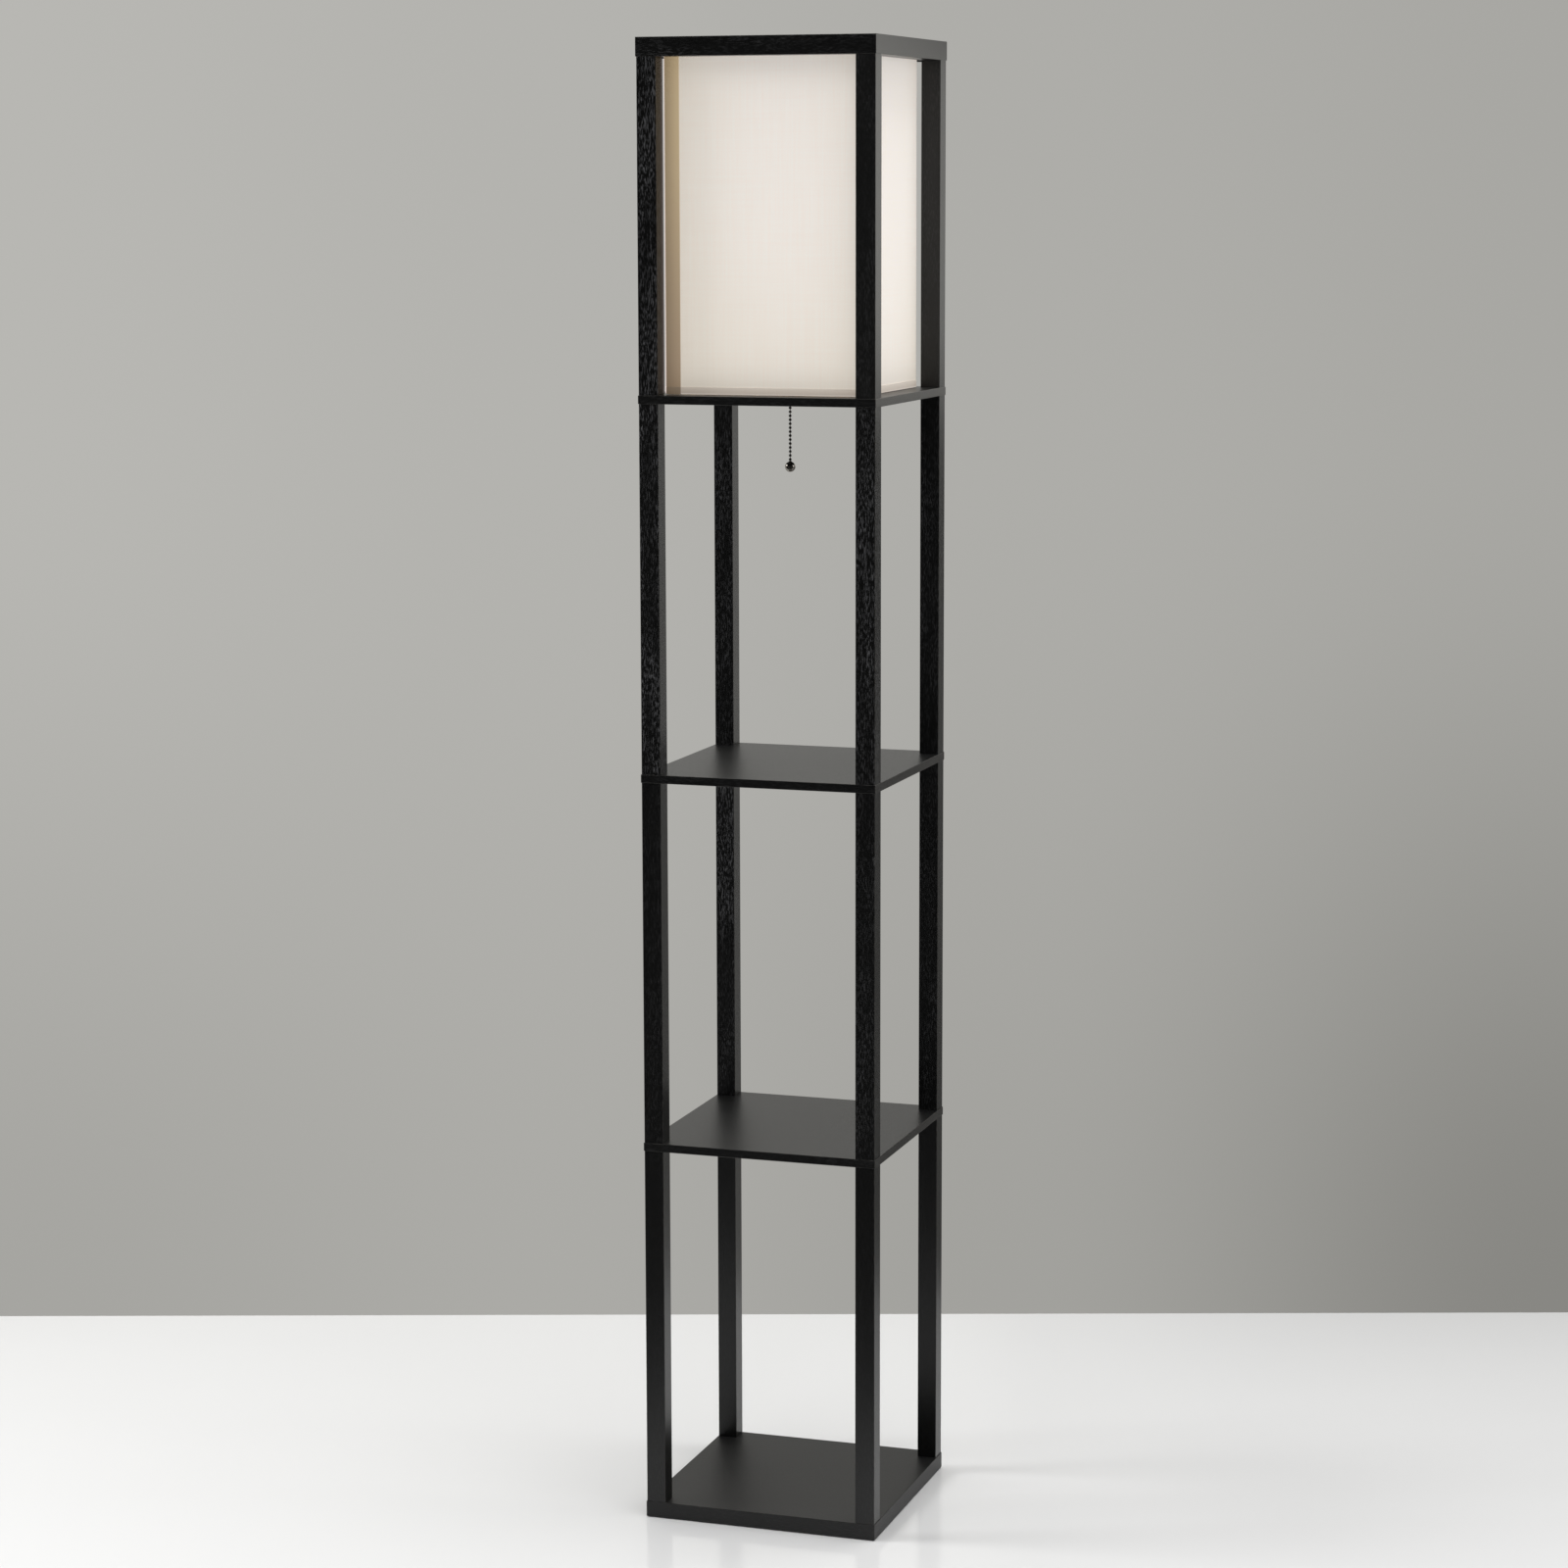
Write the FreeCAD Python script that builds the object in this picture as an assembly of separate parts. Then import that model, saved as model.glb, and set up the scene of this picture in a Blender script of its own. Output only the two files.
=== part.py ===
import FreeCAD, Part
import math
import os

# Shelf floor lamp: a square black wood tower of three open bays with a fabric lantern on top.
# Millimetres. Origin: centre of the footprint on the floor. +X right, +Y to the rear, +Z up.

# ---- driving dimensions ----------------------------------------------------------------------
# wood frame
WIDTH = 260.0                # boards and top frame, square in plan
BASE_TOP = 18.0              # upper face of the base board
PAD_PROUD = 0.8              # how far the foot pads stand below the base board
BOARD = 9.0                  # shelf boards
BAY_POST = 391.5             # posts of the three open bays
LANTERN_POST = 348.5         # posts of the lantern
RAIL_HEIGHT = 20.0           # top frame
POST = 21.3                  # square section of every post
POST_INSET = 0.7             # boards stand this far proud of the posts
EDGE = 0.5                   # eased edges of the wood
# joints of the frame
STUD_RADIUS = 3.0
STUD_HOLE = 3.3              # radius of the hole in a board
STUD_GRIP = 9.5              # length of stud in each insert
INSERT_RADIUS = 4.5
INSERT_LENGTH = 10.0
BOLT_HEAD = 5.5              # radius
BOLT_HEAD_HEIGHT = 3.5
BOLT_SOCKET = 2.3            # middle to corner of the hexagon socket
BOLT_SOCKET_DEPTH = 2.2
BOLT_RECESS = 5.0            # depth of the bore that hides a bolt's head
BOLT_ROOM = 0.5              # gap round a bolt's head
DOWEL_RADIUS = 2.5
DOWEL_HALF_LENGTH = 11.0
DOWEL_RISE = 14.5            # middle of a mitre dowel above the underside of the top frame
PAD_RADIUS = 9.0
PAD_PLACE = 96.0             # from the centre lines
PAD_RECESS = 2.2
# fabric shade
SHADE_HALF = 106.0           # half the outer width of the fabric box
SHADE_SHIFT = -1.5           # the shade hangs this far to the left and to the front of the centre
SHADE_CORNER = 2.2
SHADE_LIFT = 1.0             # gap between the shade and the lamp shelf
SHADE_HIDDEN = 12.0          # height of the shade behind the top rails
FABRIC = 0.6
LINER = 1.0
LEAST_CORNER = 0.5           # inner corner radius of a sheet, at least
TRIM = 0.4
TRIM_FACE = 7.4              # visible height of the edge trims
SEAM_WIDTH = 15.1            # overlap of the fabric on the front face
SEAM_PROUD = 0.25
RING_WIRE = 1.75             # radius
RING_CORNER = 6.0
RING_GAP = 0.4               # between the end of the wall and the ring's wire
HOOK_WIRE = 0.8              # radius
HOOK_WELD = 0.6              # how far a hook's leg runs into the top ring
HOOK_REACH = 4.0             # how far a hook runs into the post, along each side
HOOK_ROOM = 0.35             # gap round a hook in the wall
KERF_ROOM = 0.15             # gap beside a hook in the post
# fixing of the lampholder
NIPPLE_RADIUS = 5.0
NIPPLE_BORE = 4.0
NIPPLE_RISE = 14.0           # above the lamp shelf
NIPPLE_ROOM = 0.2            # gap round the nipple
NUT_RECESS = 3.0             # counterbore under the lamp shelf
NUT_RECESS_RADIUS = 12.5
NUT = 4.0                    # thickness
NUT_CORNER = 8.1             # middle to corner
WASHER = 1.2                 # thickness
WASHER_RADIUS = 11.0
BUSH_FLANGE = 7.0            # radius
BUSH_FLANGE_HEIGHT = 1.3
BUSH_BORE = 3.2
BUSH_GRIP = 10.0             # length inside the nipple
# lampholder
PLATE_HEIGHT = 4.5
PLATE_RADIUS = 18.0
PLATE_METAL = 1.2
PLATE_TURN_DOWN = 3.2        # width of the plate's sloping edge
PLATE_LIP = 1.4              # width of its flat rim
CUP_FOOT = 11.0              # radius
CUP_SLOPE = 8.0              # height of the cup's sloping part
CUP_WALL = 0.8
CUP_FLOOR = 1.4              # thickness
CUP_ROOM = 0.1               # gap round the shell
CUP_NECK_WALL = 2.5
CUP_NECK_HEIGHT = 7.0
SHELL_RADIUS = 17.0
SHELL_METAL = 0.6
SHELL_LIP = 1.0
SHELL_LENGTH = 50.5
SHELL_LAP = 3.0              # height of the cup's wall round the shell
SLEEVE_METAL = 0.95
SLEEVE_GAP = 0.05            # to the shell
SLEEVE_SHORT = (1.0, 0.5)    # below the shell's ends, lower and upper
SWITCH_RISE = 21.5           # underside of the switch housing above the lamp shelf
SWITCH_HEIGHT = 25.0
SCREW_SHELL_METAL = 0.4
SCREW_SHELL_HEIGHT = 22.0
SCREW_SHELL_FOOT = 8.0       # inner radius
SCREW_SHELL_FLANGE = 0.6     # thickness
CAP_ROOM = 0.3               # gap round the bulb's cap and under its tip
TERMINAL_HEAD = 3.2          # radius
TERMINAL_HEAD_HEIGHT = 2.4
TERMINAL_SLOT = 0.8          # width
TERMINAL_SHANK = 1.7         # radius
TERMINAL_DEPTH = 7.0
TERMINALS = [(-8.0, 6.0), (8.0, 6.0)]
CONTACT_RADIUS = 4.0
CONTACT_METAL = 1.0
CONTACT_BUTTON = 2.6         # radius
# bulb
BULB_RADIUS = 30.0
BULB_LENGTH = 108.0          # tip contact to crown
NECK_RADIUS = 12.2
NECK_DEPTH = 5.0             # length of neck inside the cap
GLASS = 0.9
CAP_RADIUS = 13.05           # medium screw cap
CAP_METAL = 0.4
CAP_FOOT = 11.5              # inner radius of the cap's turned-in end
INSULATOR_RADIUS = 11.1
INSULATOR_FOOT = 6.0         # radius
CAP_LENGTH = 22.0
CAP_RISE = 3.0               # cap's lower end above the tip
TIP_RADIUS = 4.8
TIP_STEM = 3.5               # radius
TIP_HEIGHT = 0.8
# pull switch
CHAIN_X = 2.7
CHAIN_Y = -23.9
LEVER_ARM = 16.0
LEVER_SWING = 14.0           # degrees above and below level
LEVER_RISE = 33.0            # pivot above the lamp shelf
LEVER_METAL = 1.0
LEVER_HALF_WIDTH = 1.6
LEVER_HUB = 3.0              # radius
LEVER_EYE = 2.5              # radius
LEVER_EYE_BORE = 1.5         # radius
WINDOW_HALF_WIDTH = 1.7
WINDOW_HALF_HEIGHT = 6.5
CAVITY_LEFT = 6.0            # sides of the switch's cavity, from the chain
CAVITY_RIGHT = 2.0
CAVITY_BACK = 7.5            # behind the pivot
CAVITY_HALF_HEIGHT = 8.0
PIVOT_RADIUS = 1.2
PIVOT_GRIP = 2.5             # length of pin in each wall
RUNNING = 0.05               # radial clearance of a turning fit
ROTOR_RADIUS = 5.5
ROTOR_TEETH = 8
ROTOR_TOOTH = 1.3            # depth of a tooth
ROTOR_FLANK = 0.12           # share of a tooth taken by its steep side
ROTOR_THICKNESS = 2.4
ROTOR_GAP = 0.4              # beside the lever
SPRING_WIRE = 0.25           # radius
SPRING_COIL = 1.9
SPRING_TURNS = 3
SPRING_PITCH = 0.62
SPRING_PLACE = 2.4           # from the cavity's left wall
# pull chain
BEAD_RADIUS = 1.6
BEAD_PITCH = 4.2
LINK_RADIUS = 2.4
LINK_WIRE = 0.45
LINK_NECK = 2.0              # link to the middle of the first bead
GUIDED_BEADS = 10            # beads between the link and the swinging bead
JOINT_GAP = 0.3              # between the swinging bead and the wires beside it
BALL_RADIUS = 5.6
BALL_DROP = 70.0             # lamp shelf underside to the middle of the ball
COLLAR_FOOT = 1.9            # radius
COLLAR_MOUTH = 1.5           # radius
COLLAR_HEIGHT = 1.4
COLLAR_RISE = 0.5            # above the ball
EYELET_BORE = 3.0
EYELET_METAL = 0.6
EYELET_FLANGE = 5.5          # radius
EYELET_PROUD = 0.8

# ---- worked-out places -----------------------------------------------------------------------
HALF = WIDTH / 2
POST_OUT = HALF - POST_INSET
POST_IN = POST_OUT - POST
POST_MID = (POST_OUT + POST_IN) / 2
PITCH = BAY_POST + BOARD
LOWER_TOP = BASE_TOP + PITCH
MIDDLE_TOP = LOWER_TOP + PITCH
LAMP_TOP = MIDDLE_TOP + PITCH
LAMP_UNDER = LAMP_TOP - BOARD
RAIL_UNDER = LAMP_TOP + LANTERN_POST
DOWEL_Z = RAIL_UNDER + DOWEL_RISE

SHADE_BOTTOM = LAMP_TOP + SHADE_LIFT
SHADE_TOP = RAIL_UNDER + SHADE_HIDDEN
SHADE_CENTRE = (SHADE_SHIFT, SHADE_SHIFT)
RING_HALF = SHADE_HALF - FABRIC - LINER - RING_WIRE - 0.05
TOP_RING_Z = SHADE_TOP - RING_GAP - RING_WIRE
BOTTOM_RING_Z = SHADE_BOTTOM + RING_GAP + RING_WIRE
HOOK_Z = RAIL_UNDER - HOOK_WIRE - 0.2

NUT_SEAT = LAMP_UNDER + NUT_RECESS - WASHER
NIPPLE_LOW = NUT_SEAT - NUT - BUSH_FLANGE_HEIGHT
NIPPLE_HIGH = LAMP_TOP + NIPPLE_RISE
CUP_BASE = LAMP_TOP + PLATE_HEIGHT
SWITCH_LOW = LAMP_TOP + SWITCH_RISE
SWITCH_HIGH = SWITCH_LOW + SWITCH_HEIGHT
SHELL_LOW = SWITCH_LOW - 1.5
SHELL_HIGH = SHELL_LOW + SHELL_LENGTH
HOUSING_RADIUS = SHELL_RADIUS - 1.7
TIP_LOW = SWITCH_HIGH + 3.5
CROWN_Z = TIP_LOW + BULB_LENGTH
BULGE_Z = CROWN_Z - BULB_RADIUS
CAP_LOW = TIP_LOW + CAP_RISE
CAP_HIGH = CAP_LOW + CAP_LENGTH
LEVER_Y = CHAIN_Y + LEVER_ARM
LEVER_Z = LAMP_TOP + LEVER_RISE
EYE_RISE = LEVER_ARM * math.sin(math.radians(LEVER_SWING))
CAVITY_X = (CHAIN_X - CAVITY_LEFT, CHAIN_X + CAVITY_RIGHT)
LINK_Z = LEVER_Z + EYE_RISE - LEVER_METAL / 2 - LINK_RADIUS
FIRST_BEAD_Z = LINK_Z - LINK_RADIUS - LINK_NECK
BALL_Z = LAMP_UNDER - BALL_DROP
COLLAR_TOP = BALL_Z + BALL_RADIUS + COLLAR_RISE

SIDES = {"left": -1, "right": 1}
ENDS = {"front": -1, "rear": 1}
CORNERS = [(sx, sy) for sy in (-1, 1) for sx in (-1, 1)]

Vec = FreeCAD.Vector
UP = Vec(0, 0, 1)
ALONG = Vec(1, 0, 0)
ORIGIN = Vec(0, 0, 0)


# ---- shapes ----------------------------------------------------------------------------------
def block(x_low, x_high, y_low, y_high, z_low, z_high):
    size = (x_high - x_low, y_high - y_low, z_high - z_low)
    return Part.makeBox(*size, Vec(x_low, y_low, z_low))


def rod(radius, z_low, z_high, centre=(0, 0)):
    return Part.makeCylinder(radius, z_high - z_low, Vec(centre[0], centre[1], z_low))


def tube(outer, inner, z_low, z_high, centre=(0, 0)):
    return rod(outer, z_low, z_high, centre).cut(rod(inner, z_low, z_high, centre))


def bar_between(radius, start, end):
    return Part.makeCylinder(radius, (end - start).Length, start, end - start)


def joined(shapes):
    whole = shapes[0].multiFuse(shapes[1:]) if len(shapes) > 1 else shapes[0]
    return whole.removeSplitter()


def upright_edges(shape):
    found = []
    for edge in shape.Edges:
        step = edge.Vertexes[-1].Point - edge.Vertexes[0].Point
        if step.Length > 0 and abs(step.z) > 0.999 * step.Length:
            found.append(edge)
    return found


def square_bar(half, corner, z_low, z_high, centre=SHADE_CENTRE):
    """Square prism with rounded upright edges."""
    x, y = centre
    solid = block(x - half, x + half, y - half, y + half, z_low, z_high)
    return solid.makeFillet(corner, upright_edges(solid))


def square_tube(outer, inner, corner, z_low, z_high):
    bore = square_bar(inner, max(corner - (outer - inner), LEAST_CORNER), z_low - 1, z_high + 1)
    return square_bar(outer, corner, z_low, z_high).cut(bore)


def hexagon(corner, z_low, height, centre=(0, 0)):
    """Six-sided prism; corner is the distance from its middle line to an edge."""
    angles = [math.radians(60 * step) for step in range(7)]
    spots = [(centre[0] + corner * math.cos(angle), centre[1] + corner * math.sin(angle)) for angle in angles]
    face = Part.Face(Part.makePolygon([Vec(x, y, z_low) for x, y in spots]))
    return face.extrude(Vec(0, 0, height))


def turned(points):
    """Solid turned about the Z axis from an outline of (radius, z) points."""
    outline = [Vec(radius, 0, z) for radius, z in points]
    face = Part.Face(Part.makePolygon(outline + outline[:1]))
    return face.revolve(ORIGIN, UP, 360)


# ---- wood frame ------------------------------------------------------------------------------
def board(z_low, z_high):
    solid = block(-HALF, HALF, -HALF, HALF, z_low, z_high)
    return solid.makeFillet(EDGE, solid.Edges)


def shelf(top):
    solid = board(top - BOARD, top)
    for sx, sy in CORNERS:
        hole = rod(STUD_HOLE, top - BOARD - 1, top + 1, (sx * POST_MID, sy * POST_MID))
        solid = solid.cut(hole)
    return solid


def base_board():
    solid = board(PAD_PROUD, BASE_TOP)
    for sx, sy in CORNERS:
        post_centre = (sx * POST_MID, sy * POST_MID)
        solid = solid.cut(rod(STUD_HOLE, 0, BASE_TOP + 1, post_centre))
        solid = solid.cut(rod(BOLT_HEAD + BOLT_ROOM, 0, PAD_PROUD + BOLT_RECESS, post_centre))
        pad_centre = (sx * PAD_PLACE, sy * PAD_PLACE)
        solid = solid.cut(rod(PAD_RADIUS, 0, PAD_PROUD + PAD_RECESS, pad_centre))
    return solid


def foot_pads():
    pads = []
    for sx, sy in CORNERS:
        centre = (sx * PAD_PLACE, sy * PAD_PLACE)
        pads.append(rod(PAD_RADIUS, 0, PAD_PROUD + PAD_RECESS, centre))
    return pads


def lamp_shelf():
    solid = shelf(LAMP_TOP)
    solid = solid.cut(rod(NIPPLE_RADIUS + NIPPLE_ROOM, LAMP_UNDER - 1, LAMP_TOP + 1))
    solid = solid.cut(rod(NUT_RECESS_RADIUS, LAMP_UNDER - 1, LAMP_UNDER + NUT_RECESS))
    eyelet_hole = rod(EYELET_BORE + EYELET_METAL, LAMP_UNDER - 1, LAMP_TOP + 1, (CHAIN_X, CHAIN_Y))
    return solid.cut(eyelet_hole)


def post(sx, sy, z_low, z_high):
    xs = sorted((sx * POST_IN, sx * POST_OUT))
    ys = sorted((sy * POST_IN, sy * POST_OUT))
    solid = block(xs[0], xs[1], ys[0], ys[1], z_low, z_high)
    solid = solid.makeFillet(EDGE, upright_edges(solid))
    centre = (sx * POST_MID, sy * POST_MID)
    for end_low in (z_low, z_high - INSERT_LENGTH):
        solid = solid.cut(rod(INSERT_RADIUS, end_low, end_low + INSERT_LENGTH, centre))
    return solid


def lantern_post(sx, sy):
    """Lantern post with the saw kerf in its inner corner that carries a shade hook."""
    solid = post(sx, sy, LAMP_TOP, RAIL_UNDER)
    elbow, tip = hook_line(sx, sy)
    arm = tip - elbow
    half_width = HOOK_WIRE + KERF_ROOM
    kerf = block(-POST, KERF_ROOM, -half_width, half_width, HOOK_Z - half_width, RAIL_UNDER + 1)
    kerf.rotate(ORIGIN, UP, math.degrees(math.atan2(arm.y, arm.x)))
    kerf.translate(Vec(tip.x, tip.y, 0))
    return solid.cut(kerf)


def top_rail(turn):
    """Rail with mitred ends; turn 0 is the front one, and each further one is 90 degrees on."""
    outline = [
        Vec(-HALF, -HALF, RAIL_UNDER),
        Vec(HALF, -HALF, RAIL_UNDER),
        Vec(POST_IN, -POST_IN, RAIL_UNDER),
        Vec(-POST_IN, -POST_IN, RAIL_UNDER),
    ]
    face = Part.Face(Part.makePolygon(outline + outline[:1]))
    solid = face.extrude(Vec(0, 0, RAIL_HEIGHT))
    long_edges = [edge for edge in solid.Edges if abs(edge.tangentAt(edge.FirstParameter).x) > 0.999]
    solid = solid.makeFillet(EDGE, long_edges)
    for sx in (-1, 1):
        centre = (sx * POST_MID, -POST_MID)
        solid = solid.cut(rod(INSERT_RADIUS, RAIL_UNDER, RAIL_UNDER + INSERT_LENGTH, centre))
        solid = solid.cut(mitre_dowel(sx, -1))
    solid.rotate(ORIGIN, UP, 90 * turn)
    return solid


def mitre_dowel(sx, sy):
    across = Vec(sx, -sy, 0).normalize() * DOWEL_HALF_LENGTH
    middle = Vec(sx * POST_MID, sy * POST_MID, DOWEL_Z)
    return bar_between(DOWEL_RADIUS, middle - across, middle + across)


def thread_inserts():
    """Threaded sleeves in both ends of every post and in the corners of the top frame."""
    lows = [BASE_TOP]
    for top in (LOWER_TOP, MIDDLE_TOP, LAMP_TOP):
        lows += [top - BOARD - INSERT_LENGTH, top]
    lows += [RAIL_UNDER - INSERT_LENGTH, RAIL_UNDER]
    sleeves = []
    for sx, sy in CORNERS:
        for low in lows:
            centre = (sx * POST_MID, sy * POST_MID)
            sleeves.append(tube(INSERT_RADIUS, STUD_RADIUS, low, low + INSERT_LENGTH, centre))
    return sleeves


def joining_studs():
    """Double-ended studs: three through the shelf boards and one into the top frame, per corner."""
    spans = [(top - BOARD - STUD_GRIP, top + STUD_GRIP) for top in (LOWER_TOP, MIDDLE_TOP, LAMP_TOP)]
    spans.append((RAIL_UNDER - STUD_GRIP, RAIL_UNDER + STUD_GRIP))
    return [rod(STUD_RADIUS, low, high, (sx * POST_MID, sy * POST_MID))
            for sx, sy in CORNERS for low, high in spans]


def base_bolts():
    """Socket-head bolts up through the base board into the lowest posts."""
    bolts = []
    head_top = PAD_PROUD + BOLT_RECESS
    head_low = head_top - BOLT_HEAD_HEIGHT
    for sx, sy in CORNERS:
        centre = (sx * POST_MID, sy * POST_MID)
        head = rod(BOLT_HEAD, head_low, head_top, centre)
        shank = rod(STUD_RADIUS, head_top, BASE_TOP + STUD_GRIP, centre)
        socket = hexagon(BOLT_SOCKET, head_low, BOLT_SOCKET_DEPTH, centre)
        bolts.append(joined([head, shank]).cut(socket))
    return bolts


# ---- fabric shade ----------------------------------------------------------------------------
def hook_line(sx, sy):
    """Middle line of a shade hook's arm: from the ring's corner to the end of the post's kerf."""
    corner = RING_HALF - RING_CORNER * (1 - math.sqrt(0.5))
    elbow = Vec(SHADE_SHIFT + sx * corner, SHADE_SHIFT + sy * corner, HOOK_Z)
    tip = Vec(sx * (POST_IN + HOOK_REACH), sy * (POST_IN + HOOK_REACH), HOOK_Z)
    return elbow, tip


def hook_holes():
    return [bar_between(HOOK_WIRE + HOOK_ROOM, *hook_line(sx, sy)) for sx, sy in CORNERS]


def shade_fabric():
    """One sheet wrapped round the liner, lapped over itself at the left of the front face."""
    wall = square_tube(SHADE_HALF, SHADE_HALF - FABRIC, SHADE_CORNER, SHADE_BOTTOM, SHADE_TOP)
    face_y = SHADE_SHIFT - SHADE_HALF
    seam_left = SHADE_SHIFT - SHADE_HALF + SHADE_CORNER
    lap = block(seam_left, seam_left + SEAM_WIDTH, face_y - SEAM_PROUD, face_y,
                SHADE_BOTTOM + TRIM_FACE, SHADE_TOP - TRIM_FACE)
    return joined([wall, lap]).cut(hook_holes())


def shade_liner():
    outer = SHADE_HALF - FABRIC
    corner = SHADE_CORNER - FABRIC
    wall = square_tube(outer, outer - LINER, corner, SHADE_BOTTOM, SHADE_TOP)
    return wall.cut(hook_holes())


def edge_trim(edge_z, into):
    """Folded tape over one edge of the shade; into is +1 where the wall lies above the edge."""
    inner_half = RING_HALF - RING_WIRE - 0.1
    face_end = edge_z + into * TRIM_FACE
    back_end = edge_z + into * (2 * RING_WIRE + RING_GAP + 1)
    outer_end = edge_z - into * TRIM
    outer_half = SHADE_HALF + TRIM
    corner = SHADE_CORNER + TRIM
    face = square_tube(outer_half, SHADE_HALF, corner, *sorted((outer_end, face_end)))
    fold = square_tube(outer_half, inner_half - TRIM, corner, *sorted((outer_end, edge_z)))
    back = square_tube(inner_half, inner_half - TRIM, RING_CORNER, *sorted((outer_end, back_end)))
    return joined([face, fold, back])


def wire_ring(z):
    """Square ring of round wire with bent corners."""
    straight = RING_HALF - RING_CORNER
    pieces = []
    for turn in range(4):
        run = bar_between(RING_WIRE, Vec(-straight, -RING_HALF, 0), Vec(straight, -RING_HALF, 0))
        bend = Part.makeTorus(RING_CORNER, RING_WIRE, Vec(straight, -straight, 0), UP)
        bend = bend.common(block(straight, HALF, -HALF, -straight, -RING_WIRE - 1, RING_WIRE + 1))
        for piece in (run, bend):
            piece.rotate(ORIGIN, UP, 90 * turn)
            pieces.append(piece)
    ring = joined(pieces)
    ring.translate(Vec(SHADE_SHIFT, SHADE_SHIFT, z))
    return ring


def shade_hooks():
    """Drop hooks on the top ring: down inside each corner, then out into the post's kerf."""
    hooks = []
    for sx, sy in CORNERS:
        elbow, tip = hook_line(sx, sy)
        leg = rod(HOOK_WIRE, HOOK_Z, TOP_RING_Z - RING_WIRE + HOOK_WELD, (elbow.x, elbow.y))
        arm = bar_between(HOOK_WIRE, elbow, tip)
        hooks.append(joined([leg, arm, Part.makeSphere(HOOK_WIRE, elbow)]))
    return hooks


# ---- lampholder ------------------------------------------------------------------------------
def threaded_nipple():
    return tube(NIPPLE_RADIUS, NIPPLE_BORE, NIPPLE_LOW, NIPPLE_HIGH)


def cord_bush():
    """Nylon bush in the lower end of the nipple, where the mains cord enters."""
    low = NIPPLE_LOW - BUSH_FLANGE_HEIGHT
    flange = tube(BUSH_FLANGE, BUSH_BORE, low, NIPPLE_LOW)
    return joined([flange, tube(NIPPLE_BORE, BUSH_BORE, NIPPLE_LOW, NIPPLE_LOW + BUSH_GRIP)])


def nipple_washer():
    return tube(WASHER_RADIUS, NIPPLE_RADIUS + NIPPLE_ROOM, NUT_SEAT, NUT_SEAT + WASHER)


def nipple_nut():
    low = NUT_SEAT - NUT
    return hexagon(NUT_CORNER, low, NUT).cut(rod(NIPPLE_RADIUS, low - 1, NUT_SEAT + 1))


def holder_base_plate():
    """Dished steel disc between the lamp shelf and the cup."""
    bore = NIPPLE_RADIUS + NIPPLE_ROOM
    under = CUP_BASE - PLATE_METAL
    rim = LAMP_TOP + PLATE_METAL
    shoulder = PLATE_RADIUS - PLATE_TURN_DOWN
    return turned([(bore, under), (shoulder - PLATE_METAL, under), (PLATE_RADIUS - PLATE_LIP, LAMP_TOP),
                   (PLATE_RADIUS, LAMP_TOP), (PLATE_RADIUS, rim), (shoulder, CUP_BASE), (bore, CUP_BASE)])


def holder_cup():
    """Cup that carries the shell; its threaded neck screws down the nipple."""
    mouth = SHELL_RADIUS + CUP_ROOM
    outside = mouth + CUP_WALL
    high = SHELL_LOW + SHELL_LAP
    slope_top = CUP_BASE + CUP_SLOPE
    floor = CUP_BASE + CUP_FLOOR
    neck_top = CUP_BASE + CUP_NECK_HEIGHT
    neck = NIPPLE_RADIUS + CUP_NECK_WALL
    return turned([(NIPPLE_RADIUS, CUP_BASE), (CUP_FOOT, CUP_BASE), (outside, slope_top), (outside, high),
                   (mouth, high), (mouth, slope_top + CUP_WALL / 2), (CUP_FOOT - CUP_WALL / 2, floor),
                   (neck, floor), (neck, neck_top), (NIPPLE_RADIUS, neck_top)])


def lever_window():
    """Slot through the holder's wall in which the switch lever moves."""
    return block(CHAIN_X - WINDOW_HALF_WIDTH, CHAIN_X + WINDOW_HALF_WIDTH, CHAIN_Y, LEVER_Y,
                 LEVER_Z - WINDOW_HALF_HEIGHT, LEVER_Z + WINDOW_HALF_HEIGHT)


def holder_shell():
    """Outer brass shell, with a lip at its mouth."""
    inside = SHELL_RADIUS - SHELL_METAL
    lip = SHELL_RADIUS + SHELL_LIP
    outline = [(inside, SHELL_LOW), (SHELL_RADIUS, SHELL_LOW), (SHELL_RADIUS, SHELL_HIGH - 2 * SHELL_LIP),
               (lip, SHELL_HIGH - SHELL_LIP), (lip, SHELL_HIGH), (inside, SHELL_HIGH)]
    return turned(outline).cut(lever_window())


def insulating_sleeve():
    """Fibre sleeve between the switch and the brass shell."""
    outer = SHELL_RADIUS - SHELL_METAL - SLEEVE_GAP
    sleeve = tube(outer, outer - SLEEVE_METAL, SHELL_LOW + SLEEVE_SHORT[0], SHELL_HIGH - SLEEVE_SHORT[1])
    return sleeve.cut(lever_window())


def switch_housing():
    """Moulded block that holds the switch below and the screw shell on top."""
    solid = rod(HOUSING_RADIUS, SWITCH_LOW, SWITCH_HIGH)
    cavity = block(*CAVITY_X, -HOUSING_RADIUS - 1, LEVER_Y + CAVITY_BACK,
                   LEVER_Z - CAVITY_HALF_HEIGHT, LEVER_Z + CAVITY_HALF_HEIGHT)
    solid = solid.cut([cavity, pivot_pin()])
    for centre in TERMINALS:
        solid = solid.cut(rod(TERMINAL_SHANK, SWITCH_LOW, SWITCH_LOW + TERMINAL_DEPTH, centre))
    return solid


def pivot_pin():
    start = Vec(CAVITY_X[0] - PIVOT_GRIP, LEVER_Y, LEVER_Z)
    end = Vec(CAVITY_X[1] + PIVOT_GRIP, LEVER_Y, LEVER_Z)
    return bar_between(PIVOT_RADIUS, start, end)


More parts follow.
